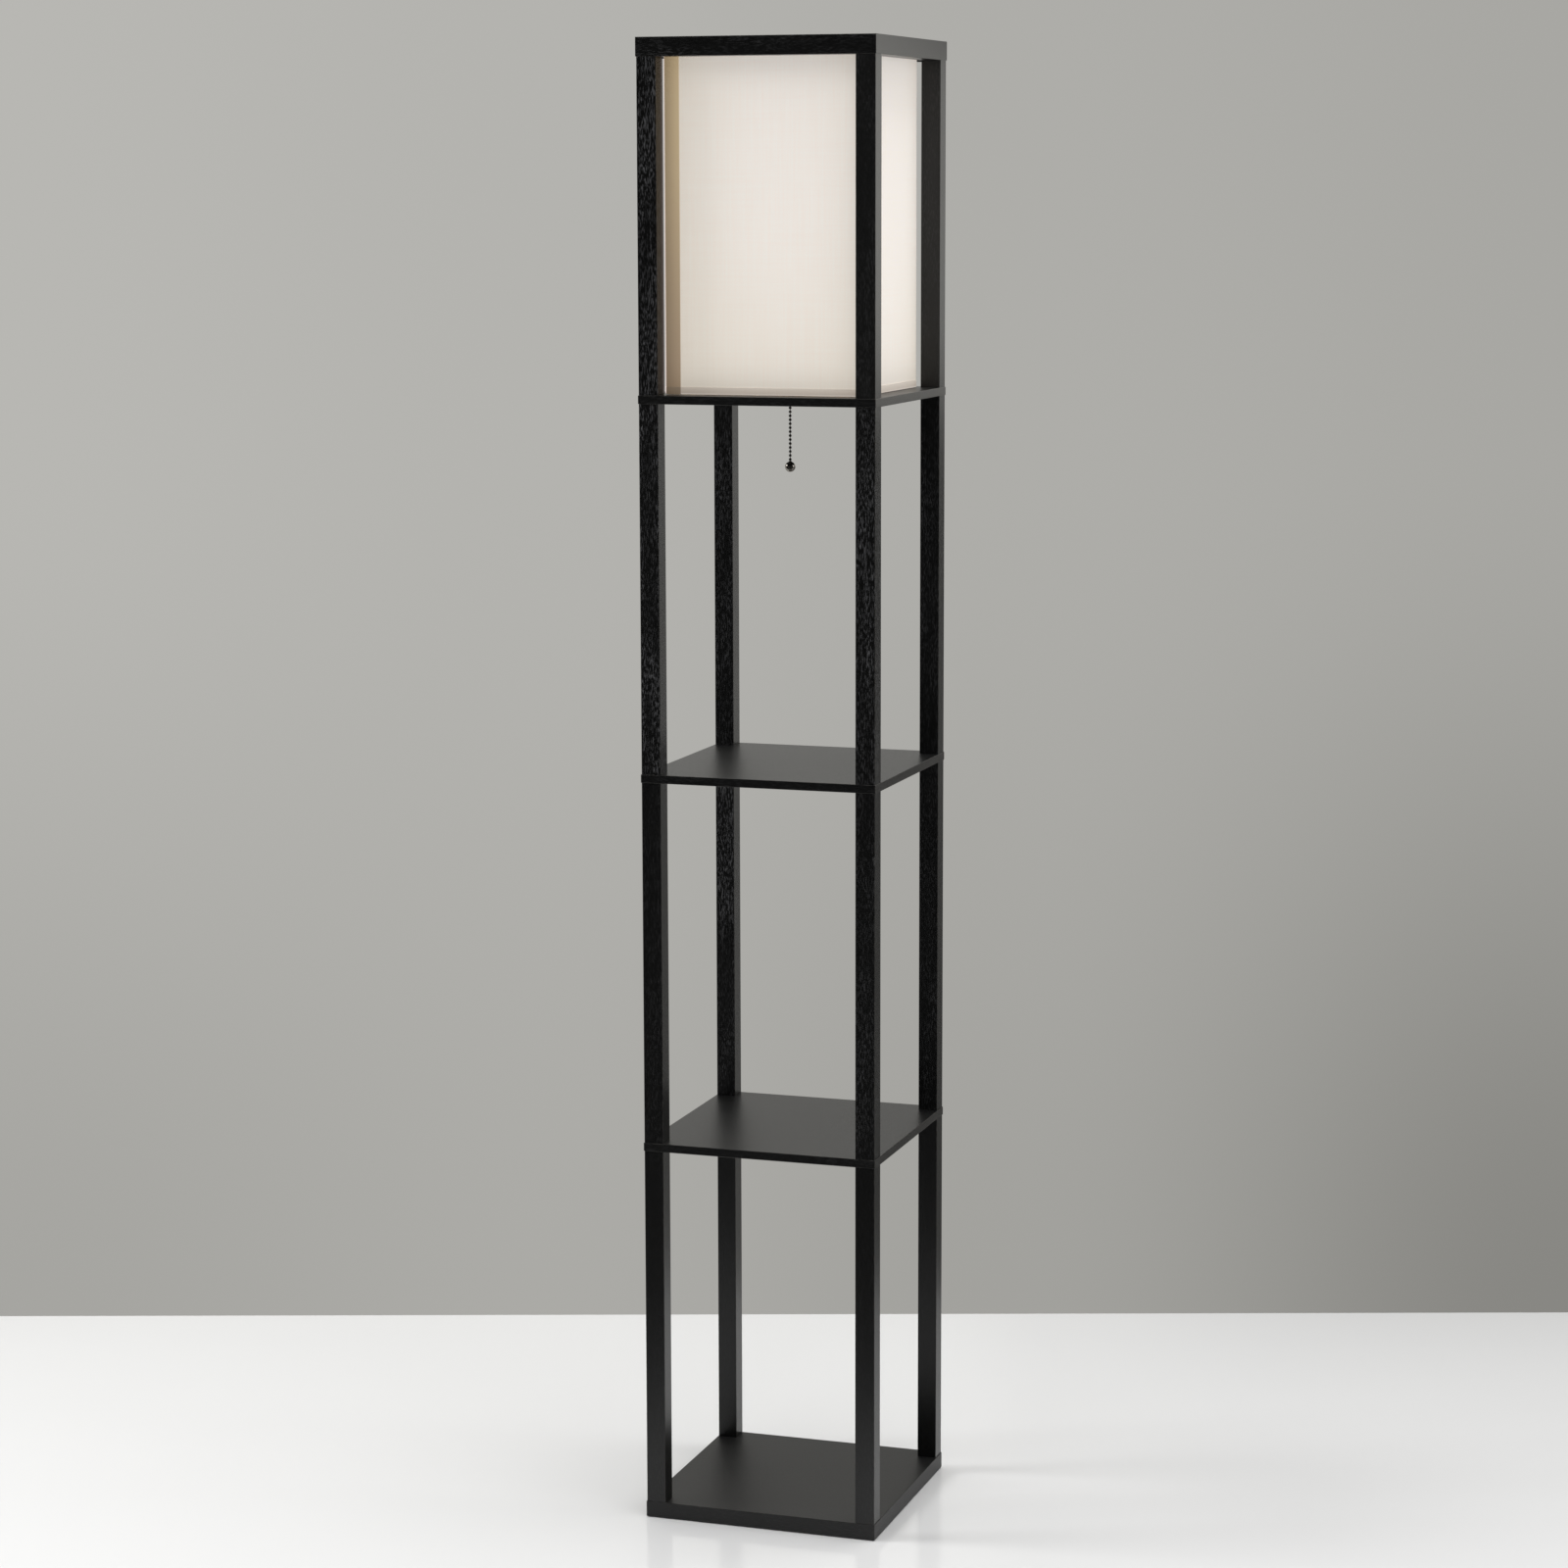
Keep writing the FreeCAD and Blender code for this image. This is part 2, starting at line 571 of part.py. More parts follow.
def terminal_screws():
    screws = []
    head_low = SWITCH_LOW - TERMINAL_HEAD_HEIGHT
    for x, y in TERMINALS:
        head = rod(TERMINAL_HEAD, head_low, SWITCH_LOW, (x, y))
        shank = rod(TERMINAL_SHANK, SWITCH_LOW, SWITCH_LOW + TERMINAL_DEPTH, (x, y))
        slot = block(x - TERMINAL_HEAD, x + TERMINAL_HEAD, y - TERMINAL_SLOT / 2, y + TERMINAL_SLOT / 2,
                     head_low, head_low + TERMINAL_HEAD_HEIGHT / 2)
        screws.append(joined([head, shank]).cut(slot))
    return screws


def flat_disc(radius, thickness, x_low, y=LEVER_Y):
    """Disc across the switch's pivot line, or beside it at another y."""
    return Part.makeCylinder(radius, thickness, Vec(x_low, y, LEVER_Z), ALONG)


def switch_lever():
    """Flat lever on the pivot pin; it rests tilted up, with the chain's eye at its outer end."""
    x_low = CHAIN_X - LEVER_METAL / 2
    eye_y = LEVER_Y - LEVER_ARM
    hub = flat_disc(LEVER_HUB, LEVER_METAL, x_low)
    eye = flat_disc(LEVER_EYE, LEVER_METAL, x_low, eye_y)
    arm = block(x_low, x_low + LEVER_METAL, eye_y, LEVER_Y,
                LEVER_Z - LEVER_HALF_WIDTH, LEVER_Z + LEVER_HALF_WIDTH)
    solid = joined([hub, eye, arm])
    solid = solid.cut(flat_disc(LEVER_EYE_BORE, LEVER_METAL, x_low, eye_y))
    solid = solid.cut(flat_disc(PIVOT_RADIUS + RUNNING, LEVER_METAL, x_low))
    solid.rotate(Vec(0, LEVER_Y, LEVER_Z), ALONG, -LEVER_SWING)
    return solid


def switch_rotor():
    """Ratchet disc beside the lever: each pull turns it by one tooth."""
    x_low = CHAIN_X - LEVER_METAL / 2 - ROTOR_GAP - ROTOR_THICKNESS
    points = []
    for tooth in range(ROTOR_TEETH):
        for radius, share in ((ROTOR_RADIUS, 0.0), (ROTOR_RADIUS - ROTOR_TOOTH, ROTOR_FLANK)):
            angle = 2 * math.pi * (tooth + share) / ROTOR_TEETH
            points.append(Vec(x_low, LEVER_Y + radius * math.cos(angle), LEVER_Z + radius * math.sin(angle)))
    disc = Part.Face(Part.makePolygon(points + points[:1])).extrude(Vec(ROTOR_THICKNESS, 0, 0))
    return disc.cut(flat_disc(PIVOT_RADIUS + RUNNING, ROTOR_THICKNESS, x_low))


def lever_spring():
    """Return spring: a coil round the pivot pin with its fixed leg against the housing."""
    helix = Part.makeHelix(SPRING_PITCH, SPRING_PITCH * SPRING_TURNS, SPRING_COIL)
    profile = Part.Wire(Part.makeCircle(SPRING_WIRE, Vec(SPRING_COIL, 0, 0), Vec(0, 1, 0)))
    coil = Part.Wire(helix).makePipeShell([profile], True, True)
    leg = bar_between(SPRING_WIRE, Vec(SPRING_COIL, 0, 0), Vec(SPRING_COIL, CAVITY_BACK, 0))
    solid = joined([coil, leg])
    solid.rotate(ORIGIN, Vec(0, 1, 0), -90)
    solid.translate(Vec(CAVITY_X[0] + SPRING_PLACE, LEVER_Y, LEVER_Z))
    return solid


def screw_shell():
    """Threaded brass shell for the bulb cap, with a flanged foot on the housing."""
    low = SWITCH_HIGH
    high = low + SCREW_SHELL_HEIGHT
    inner = CAP_RADIUS + CAP_ROOM
    outer = inner + SCREW_SHELL_METAL
    foot_top = low + SCREW_SHELL_FLANGE
    return turned([(SCREW_SHELL_FOOT, low), (outer, low), (outer, high), (inner, high),
                   (inner, foot_top), (SCREW_SHELL_FOOT, foot_top)])


def centre_contact():
    disc_top = SWITCH_HIGH + CONTACT_METAL
    disc = rod(CONTACT_RADIUS, SWITCH_HIGH, disc_top)
    return joined([disc, rod(CONTACT_BUTTON, disc_top, TIP_LOW - CAP_ROOM)])


# ---- bulb ------------------------------------------------------------------------------------
def bulb_side(offset):
    """Edges of the glass outline, crown to neck, moved inwards by offset."""
    shift = BULB_RADIUS - NECK_RADIUS
    drop = BULGE_Z - CAP_HIGH
    sweep = 2 * math.atan(shift / drop)
    bend = drop / (2 * math.sin(sweep))
    upper_centre = (BULB_RADIUS - bend, BULGE_Z)
    lower_centre = (NECK_RADIUS + bend, CAP_HIGH)

    def arc(centre, radius, angles):
        spots = [Vec(centre[0] + radius * math.cos(a), 0, centre[1] + radius * math.sin(a)) for a in angles]
        return Part.Arc(*spots).toShape()

    crown = arc((0, BULGE_Z), BULB_RADIUS - offset, (math.pi / 2, math.pi / 4, 0))
    shoulder = arc(upper_centre, bend - offset, (0, -sweep / 2, -sweep))
    waist = arc(lower_centre, bend + offset, (math.pi - sweep, math.pi - sweep / 2, math.pi))
    neck = NECK_RADIUS - offset
    foot = Part.makeLine(Vec(neck, 0, CAP_HIGH), Vec(neck, 0, CAP_HIGH - NECK_DEPTH))
    return [crown, shoulder, waist, foot]


def bulb_glass():
    outer = bulb_side(0)
    inner = bulb_side(GLASS)
    crown = Part.makeLine(Vec(0, 0, CROWN_Z), Vec(0, 0, CROWN_Z - GLASS))
    neck_end = CAP_HIGH - NECK_DEPTH
    rim = Part.makeLine(Vec(NECK_RADIUS, 0, neck_end), Vec(NECK_RADIUS - GLASS, 0, neck_end))
    outline = Part.Wire(Part.__sortEdges__(outer + [rim] + inner + [crown]))
    return Part.Face(outline).revolve(ORIGIN, UP, 360)


def bulb_cap():
    inner = CAP_RADIUS - CAP_METAL
    foot_top = CAP_LOW + CAP_METAL
    return turned([(CAP_FOOT, CAP_LOW), (CAP_RADIUS, CAP_LOW), (CAP_RADIUS, CAP_HIGH),
                   (inner, CAP_HIGH), (inner, foot_top), (CAP_FOOT, foot_top)])


def bulb_tip():
    """Dark glass insulator and, in its middle, the tip contact."""
    low = TIP_LOW + TIP_HEIGHT
    high = CAP_LOW + CAP_METAL
    insulator = turned([(TIP_STEM, low), (INSULATOR_FOOT, low), (INSULATOR_RADIUS, CAP_LOW),
                        (INSULATOR_RADIUS, high), (TIP_STEM, high)])
    contact = joined([rod(TIP_RADIUS, TIP_LOW, low), rod(TIP_STEM, low, CAP_LOW)])
    return [insulator, contact]


# ---- pull chain ------------------------------------------------------------------------------
def bead_z(number):
    return FIRST_BEAD_Z - BEAD_PITCH * number


def beads(first, last):
    return [Part.makeSphere(BEAD_RADIUS, Vec(CHAIN_X, CHAIN_Y, bead_z(number)))
            for number in range(first, last + 1)]


def chain_wire(z_low, z_high):
    return rod(LINK_WIRE, z_low, z_high, (CHAIN_X, CHAIN_Y))


def upper_chain():
    link = Part.makeTorus(LINK_RADIUS, LINK_WIRE, Vec(CHAIN_X, CHAIN_Y, LINK_Z), Vec(0, 1, 0))
    wire_end = bead_z(GUIDED_BEADS) + BEAD_RADIUS + JOINT_GAP
    return joined([link, chain_wire(wire_end, LINK_Z - LINK_RADIUS)] + beads(0, GUIDED_BEADS - 1))


def swing_bead():
    """The bead next below the guided ones, about which the lower chain swings."""
    return beads(GUIDED_BEADS, GUIDED_BEADS)


def lower_chain():
    hanging = math.floor((bead_z(GUIDED_BEADS) - BEAD_RADIUS - COLLAR_TOP) / BEAD_PITCH)
    wire = chain_wire(COLLAR_TOP, bead_z(GUIDED_BEADS) - BEAD_RADIUS - JOINT_GAP)
    return joined([wire] + beads(GUIDED_BEADS + 1, GUIDED_BEADS + hanging))


def pull_ball():
    """Metal ball with the small collar that the chain's end is fixed in."""
    ball = Part.makeSphere(BALL_RADIUS, Vec(CHAIN_X, CHAIN_Y, BALL_Z))
    collar_low = Vec(CHAIN_X, CHAIN_Y, COLLAR_TOP - COLLAR_HEIGHT)
    collar = Part.makeCone(COLLAR_FOOT, COLLAR_MOUTH, COLLAR_HEIGHT, collar_low, UP)
    return joined([ball, collar])


def chain_eyelet():
    centre = (CHAIN_X, CHAIN_Y)
    low = LAMP_UNDER - EYELET_PROUD
    high = LAMP_TOP + EYELET_PROUD
    wall_middle = EYELET_BORE + EYELET_METAL / 2
    sleeve = tube(EYELET_BORE + EYELET_METAL, EYELET_BORE, low, high, centre)
    under = tube(EYELET_FLANGE, wall_middle, low, LAMP_UNDER, centre)
    over = tube(EYELET_FLANGE, wall_middle, LAMP_TOP, high, centre)
    return joined([sleeve, under, over])


# ---- export ----------------------------------------------------------------------------------
def solids_of(shape):
    pieces = shape if isinstance(shape, list) else [shape]
    return [solid for piece in pieces for solid in piece.Solids]


def all_nodes():
    nodes = {
        "base_board": base_board(),
        "foot_pads": foot_pads(),
        "base_bolts": base_bolts(),
        "lower_shelf": shelf(LOWER_TOP),
        "middle_shelf": shelf(MIDDLE_TOP),
        "lamp_shelf": lamp_shelf(),
        "thread_inserts": thread_inserts(),
        "joining_studs": joining_studs(),
        "mitre_dowels": [mitre_dowel(sx, sy) for sx, sy in CORNERS],
        "shade_fabric": shade_fabric(),
        "shade_liner": shade_liner(),
        "shade_top_trim": edge_trim(SHADE_TOP, -1),
        "shade_bottom_trim": edge_trim(SHADE_BOTTOM, 1),
        "shade_top_ring": wire_ring(TOP_RING_Z),
        "shade_bottom_ring": wire_ring(BOTTOM_RING_Z),
        "shade_hooks": shade_hooks(),
        "threaded_nipple": threaded_nipple(),
        "cord_bush": cord_bush(),
        "nipple_washer": nipple_washer(),
        "nipple_nut": nipple_nut(),
        "holder_base_plate": holder_base_plate(),
        "holder_cup": holder_cup(),
        "holder_shell": holder_shell(),
        "insulating_sleeve": insulating_sleeve(),
        "switch_housing": switch_housing(),
        "pivot_pin": pivot_pin(),
        "terminal_screws": terminal_screws(),
        "switch_lever": switch_lever(),
        "switch_rotor": switch_rotor(),
        "lever_spring": lever_spring(),
        "screw_shell": screw_shell(),
        "centre_contact": centre_contact(),
        "bulb_glass": bulb_glass(),
        "bulb_cap": bulb_cap(),
        "bulb_tip": bulb_tip(),
        "upper_chain": upper_chain(),
        "swing_bead": swing_bead(),
        "lower_chain": lower_chain(),
        "pull_ball": pull_ball(),
        "chain_eyelet": chain_eyelet(),
    }
    bays = {"lower": BASE_TOP, "middle": LOWER_TOP, "upper": MIDDLE_TOP}
    for end, sy in ENDS.items():
        for side, sx in SIDES.items():
            for bay, floor in bays.items():
                nodes[f"{bay}_post_{end}_{side}"] = post(sx, sy, floor, floor + BAY_POST)
            nodes[f"lantern_post_{end}_{side}"] = lantern_post(sx, sy)
    for turn, place in enumerate(("front", "right", "rear", "left")):
        nodes[f"top_rail_{place}"] = top_rail(turn)
    return nodes


def main():
    os.makedirs("parts", exist_ok=True)
    for name, shape in all_nodes().items():
        solids = solids_of(shape)
        bad = [solid for solid in solids if not solid.isValid() or solid.Volume <= 0]
        whole = solids[0] if len(solids) == 1 else Part.makeCompound(solids)
        whole.exportStep(f"parts/{name}.step")
        print(f"{name:28s} solids {len(solids):3d}  volume {whole.Volume:12.1f}{'  BAD' if bad else ''}")


main()
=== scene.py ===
import bpy
import bmesh
import math
from mathutils import Matrix, Vector, noise


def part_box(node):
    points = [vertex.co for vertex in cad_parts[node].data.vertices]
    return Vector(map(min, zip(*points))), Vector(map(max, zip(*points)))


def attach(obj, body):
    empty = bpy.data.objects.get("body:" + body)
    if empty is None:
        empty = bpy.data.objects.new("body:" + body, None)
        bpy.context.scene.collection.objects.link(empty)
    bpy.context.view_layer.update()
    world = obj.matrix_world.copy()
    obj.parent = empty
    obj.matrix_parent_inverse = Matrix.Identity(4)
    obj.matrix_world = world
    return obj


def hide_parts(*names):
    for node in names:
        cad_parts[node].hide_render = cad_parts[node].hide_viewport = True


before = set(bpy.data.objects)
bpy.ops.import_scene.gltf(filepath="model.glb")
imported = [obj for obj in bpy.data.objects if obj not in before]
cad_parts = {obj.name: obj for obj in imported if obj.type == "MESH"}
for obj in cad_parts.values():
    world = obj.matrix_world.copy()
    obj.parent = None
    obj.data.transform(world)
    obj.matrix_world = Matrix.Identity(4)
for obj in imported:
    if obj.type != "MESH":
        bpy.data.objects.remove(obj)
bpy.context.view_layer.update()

# Shelf floor lamp: black tower with three open bays and a lit cloth shade. Metres, Z up.

MM = 0.001
HALF = 0.130                     # boards and top frame, from the middle
POST_OUT, POST_IN = 0.1293, 0.1080
RAIL_LOW, RAIL_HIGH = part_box("top_rail_front")[0].z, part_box("top_rail_front")[1].z
SHADE_LOW, SHADE_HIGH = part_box("shade_fabric")[0].z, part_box("shade_fabric")[1].z
SHADE_X = SHADE_Y = -0.0015      # middle of the shade
SHADE_HALF = 0.106
SHADE_CORNER = 0.0022
SEAM = 0.0151                    # width of the lap on the flat of the front face
SEAM_LEFT, SEAM_RIGHT = -0.1062, -0.0902
RING_IN = 3.4 * MM               # from the cloth's face to the middle of the wire rings
RING_CORNER = 0.006
HOOK_WIRE = 0.0008
TAPE_FACE = 0.0074               # height of the edge tapes
# Middle of the painted glow on the shade cloth: an emission colour, not light from the bulb.
PAINTED_GLOW_MIDDLE = (SHADE_X + 0.026, SHADE_Y, 1.466)
CHAIN_X, CHAIN_Y = 0.0027, -0.0239
BEAD = 0.0016
BEAD_PITCH = 0.0042
GUIDED_BEADS = 10
BALL = 5.6 * MM
SWING_Z = (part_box("swing_bead")[0].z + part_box("swing_bead")[1].z) / 2
BULB_TURN = 0.003629             # rise of the bulb's thread in one turn
BULGE = 0.030
BULGE_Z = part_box("bulb_glass")[1].z - BULGE
PAD_PLACE = 0.096


# ---- nodes -----------------------------------------------------------------------------------
def feed(tree, value, socket):
    """Links an output to a socket, or sets a plain value on it."""
    if isinstance(value, bpy.types.NodeSocket):
        tree.links.new(value, socket)
    elif isinstance(value, tuple) and len(value) == 3 and socket.type == "RGBA":
        socket.default_value = (*value, 1.0)
    else:
        socket.default_value = value


def maths(tree, operation, first, second=0.0, third=0.0, clamp=False):
    node = tree.nodes.new("ShaderNodeMath")
    node.operation = operation
    node.use_clamp = clamp
    for value, socket in zip((first, second, third), node.inputs):
        feed(tree, value, socket)
    return node.outputs[0]


def vector_maths(tree, operation, first, second=(0.0, 0.0, 0.0)):
    node = tree.nodes.new("ShaderNodeVectorMath")
    node.operation = operation
    feed(tree, first, node.inputs[0])
    feed(tree, second, node.inputs[1])
    return node.outputs[1] if operation == "DOT_PRODUCT" else node.outputs[0]


def ranged(tree, value, low, high, to_low=0.0, to_high=1.0):
    node = tree.nodes.new("ShaderNodeMapRange")
    node.interpolation_type = "SMOOTHSTEP"
    for item, socket in zip((value, low, high, to_low, to_high), node.inputs):
        feed(tree, item, socket)
    return node.outputs[0]


def mottle(tree, place, scale, detail=2.0, roughness=0.5):
    node = tree.nodes.new("ShaderNodeTexNoise")
    feed(tree, place, node.inputs["Vector"])
    node.inputs["Scale"].default_value = scale
    node.inputs["Detail"].default_value = detail
    node.inputs["Roughness"].default_value = roughness
    return node.outputs[0]


def blended(tree, share, first, second):
    node = tree.nodes.new("ShaderNodeMix")
    node.data_type = "RGBA"
    feed(tree, share, node.inputs[0])
    feed(tree, first, node.inputs[6])
    feed(tree, second, node.inputs[7])
    return node.outputs[2]


def parts_of(tree, vector):
    node = tree.nodes.new("ShaderNodeSeparateXYZ")
    feed(tree, vector, node.inputs[0])
    return node.outputs[0], node.outputs[1], node.outputs[2]


def vector_of(tree, x, y, z):
    node = tree.nodes.new("ShaderNodeCombineXYZ")
    for value, socket in zip((x, y, z), node.inputs):
        feed(tree, value, socket)
    return node.outputs[0]


def place_of(tree):
    return tree.nodes.new("ShaderNodeTexCoord").outputs["Object"]


def relief(tree, height, depth, strength):
    node = tree.nodes.new("ShaderNodeBump")
    node.inputs["Strength"].default_value = strength
    node.inputs["Distance"].default_value = depth
    feed(tree, height, node.inputs["Height"])
    return node.outputs[0]


def srgb(red, green, blue):
    """Linear colour of an 8-bit screen colour."""
    return tuple(v / 255 / 12.92 if v <= 10 else ((v / 255 + 0.055) / 1.055) ** 2.4
                 for v in (red, green, blue))


def new_group(name, inputs, outputs):
    tree = bpy.data.node_groups.new(name, "ShaderNodeTree")
    for label, kind, value in inputs:
        socket = tree.interface.new_socket(name=label, in_out="INPUT", socket_type=kind)
        socket.default_value = value
    for label, kind in outputs:
        tree.interface.new_socket(name=label, in_out="OUTPUT", socket_type=kind)
    return tree, tree.nodes.new("NodeGroupInput").outputs, tree.nodes.new("NodeGroupOutput").inputs


def use_group(tree, group, **values):
    node = tree.nodes.new("ShaderNodeGroup")
    node.node_tree = group
    for label, value in values.items():
        feed(tree, value, node.inputs[label.replace("_", " ")])
    return node.outputs


VECTOR, NUMBER = "NodeSocketVector", "NodeSocketFloat"


def open_grain():
    """Pores and growth lines of a stained veneer; Fineness is how many per metre each way."""
    tree, given, out = new_group(
        "open grain",
        [("Place", VECTOR, (0, 0, 0)), ("Fineness", VECTOR, (900, 900, 90))],
        [("Pores", NUMBER), ("Lines", NUMBER), ("Tone", NUMBER)])
    drift = mottle(tree, given["Place"], 9.0)
    drift = maths(tree, "MULTIPLY", drift, 5.0)
    place = vector_maths(tree, "MULTIPLY", given["Place"], given["Fineness"])
    place = vector_maths(tree, "ADD", place, vector_of(tree, drift, drift, drift))
    pores = mottle(tree, place, 1.0, 1.0, 0.5)
    lines = mottle(tree, place, 3.1, 1.0, 0.5)
    belts = mottle(tree, place, 0.05, 2.0, 0.6)
    tree.links.new(ranged(tree, pores, 0.5, 0.66), out["Pores"])
    tree.links.new(lines, out["Lines"])
    tree.links.new(belts, out["Tone"])
    return tree


def arris():
    """Mask of the edges of a box given by its low and high corner, mirrored in X and Y."""
    tree, given, out = new_group(
        "arris",
        [("Place", VECTOR, (0, 0, 0)), ("Low", VECTOR, (0, 0, 0)), ("High", VECTOR, (1, 1, 1)),
         ("Width", NUMBER, 0.0008)],
        [("Edge", NUMBER)])
    x, y, z = parts_of(tree, given["Place"])
    spot = vector_of(tree, maths(tree, "ABSOLUTE", x), maths(tree, "ABSOLUTE", y), z)
    sides = [vector_maths(tree, "ABSOLUTE", vector_maths(tree, "SUBTRACT", spot, given[end]))
             for end in ("Low", "High")]
    a, b, c = parts_of(tree, vector_maths(tree, "MINIMUM", *sides))
    middle = maths(tree, "MAXIMUM", maths(tree, "MINIMUM", a, b),
                   maths(tree, "MINIMUM", maths(tree, "MAXIMUM", a, b), c))
    uneven = ranged(tree, mottle(tree, given["Place"], 160.0, 3.0, 0.7), 0.35, 0.75)
    near = maths(tree, "SUBTRACT", 1.0, maths(tree, "DIVIDE", middle, given["Width"]), clamp=True)
    tree.links.new(maths(tree, "MULTIPLY", near, uneven), out["Edge"])
    return tree


def plain_weave():
    """Over-and-under threads, with thick and thin places along the upright ones."""
    tree, given, out = new_group(
        "plain weave",
        [("Place", VECTOR, (0, 0, 0)), ("Threads", NUMBER, 2200.0)],
        [("Height", NUMBER), ("Slub", NUMBER)])
    x, y, z = parts_of(tree, given["Place"])
    round_about = maths(tree, "ADD", x, y)
    turn = maths(tree, "MULTIPLY", given["Threads"], math.pi)
    warp = maths(tree, "SINE", maths(tree, "MULTIPLY", round_about, turn))
    weft = maths(tree, "SINE", maths(tree, "MULTIPLY", z, turn))
    weave = maths(tree, "MULTIPLY_ADD", maths(tree, "MULTIPLY", warp, weft), 0.5, 0.5)
    upright = mottle(tree, vector_of(tree, maths(tree, "MULTIPLY", round_about, 420.0), 0.0,
                                     maths(tree, "MULTIPLY", z, 9.0)), 1.0, 3.0, 0.65)
    level = mottle(tree, vector_of(tree, maths(tree, "MULTIPLY", round_about, 14.0), 0.5,
                                   maths(tree, "MULTIPLY", z, 650.0)), 1.0, 2.0, 0.5)
    slub = maths(tree, "MULTIPLY_ADD", upright, 0.7, maths(tree, "MULTIPLY", level, 0.3))
    tree.links.new(maths(tree, "MULTIPLY_ADD", slub, 0.6, maths(tree, "MULTIPLY", weave, 0.4)),
                   out["Height"])
    tree.links.new(slub, out["Slub"])
    return tree


def painted_bulb_glow():
    """Painted glow: how bright the shade's wall is painted at a place, falling off from a middle point as if
    the bulb's light came through.
    """
    tree, given, out = new_group(
        "painted bulb glow",
        [("Place", VECTOR, (0, 0, 0)), ("Middle", VECTOR, (0, 0, 1)), ("Reach", NUMBER, 0.2)],
        [("Glow", NUMBER)])
    away = vector_maths(tree, "SUBTRACT", given["Place"], given["Middle"])
    away = vector_maths(tree, "MULTIPLY", away, (1.0, 1.0, 0.5))
    square = vector_maths(tree, "DOT_PRODUCT", away, away)
    room = maths(tree, "MULTIPLY", given["Reach"], given["Reach"])
    glow = maths(tree, "DIVIDE", room, maths(tree, "ADD", room, square))
    tree.links.new(glow, out["Glow"])
    return tree


def handling():
    """Fine rubbing along one direction and faint finger marks, for metal and plastic."""
    tree, given, out = new_group(
        "handling",
        [("Place", VECTOR, (0, 0, 0)), ("Fineness", VECTOR, (3000, 3000, 3000))],
        [("Rub", NUMBER), ("Marks", NUMBER)])
    rub = mottle(tree, vector_maths(tree, "MULTIPLY", given["Place"], given["Fineness"]), 1.0, 3.0, 0.6)
    marks = ranged(tree, mottle(tree, given["Place"], 190.0, 3.0, 0.6), 0.4, 0.7)
    tree.links.new(rub, out["Rub"])
    tree.links.new(marks, out["Marks"])
    return tree


GRAIN, ARRIS, WEAVE, PAINTED_GLOW, HANDLING = open_grain(), arris(), plain_weave(), painted_bulb_glow(), handling()


# ---- finishes --------------------------------------------------------------------------------
def new_finish(name, roughness=0.5, metallic=0.0):
    material = bpy.data.materials.new(name)
    material.use_nodes = True
    tree = material.node_tree
    shader = tree.nodes["Principled BSDF"]
    shader.inputs["Roughness"].default_value = roughness
    shader.inputs["Metallic"].default_value = metallic
    return material, tree, shader.inputs


FILM, PALER_FILM = (srgb(5, 5, 5), srgb(12, 12, 11)), (srgb(17, 17, 17), srgb(22, 22, 21))


def black_veneer(name, fineness, low, high, pores, polish=0.30, gloss=0.5, film=FILM, painted_side_light=None):
    """Black satin stain over open-pored veneer."""
    material, tree, sockets = new_finish(name)
    place = place_of(tree)
    grain = use_group(tree, GRAIN, Place=place, Fineness=fineness)
    edge = use_group(tree, ARRIS, Place=place, Low=low, High=high)["Edge"]
    rich = ranged(tree, grain["Tone"], 0.35, 0.65, 0.25, 1.0)
    # Pale pores are partly the veneer's open grain and partly painted glints of light caught in them.
    shown = maths(tree, "MULTIPLY", maths(tree, "MULTIPLY", grain["Pores"], rich), pores)
    colour = blended(tree, shown, blended(tree, grain["Tone"], *film), srgb(80, 80, 82))
    if painted_side_light:                     # painted highlight: the board's right side face is paler, as where light falls on it
        at_edge = ranged(tree, parts_of(tree, place)[0], HALF - 0.0004, HALF - 0.0002)
        colour = blended(tree, at_edge, colour, painted_side_light)
    colour = blended(tree, maths(tree, "MULTIPLY", edge, 0.5), colour, srgb(88, 84, 78))
    feed(tree, colour, sockets["Base Color"])
    sockets["Specular IOR Level"].default_value = gloss
    sheen = maths(tree, "MULTIPLY_ADD", grain["Lines"], 0.12, polish - 0.06)
    feed(tree, maths(tree, "MULTIPLY_ADD", shown, 0.25, sheen), sockets["Roughness"])
    height = maths(tree, "MULTIPLY_ADD", grain["Lines"], 0.35, maths(tree, "MULTIPLY", grain["Pores"], -0.65))
    feed(tree, relief(tree, height, 0.00008, 0.55), sockets["Normal"])
    return material


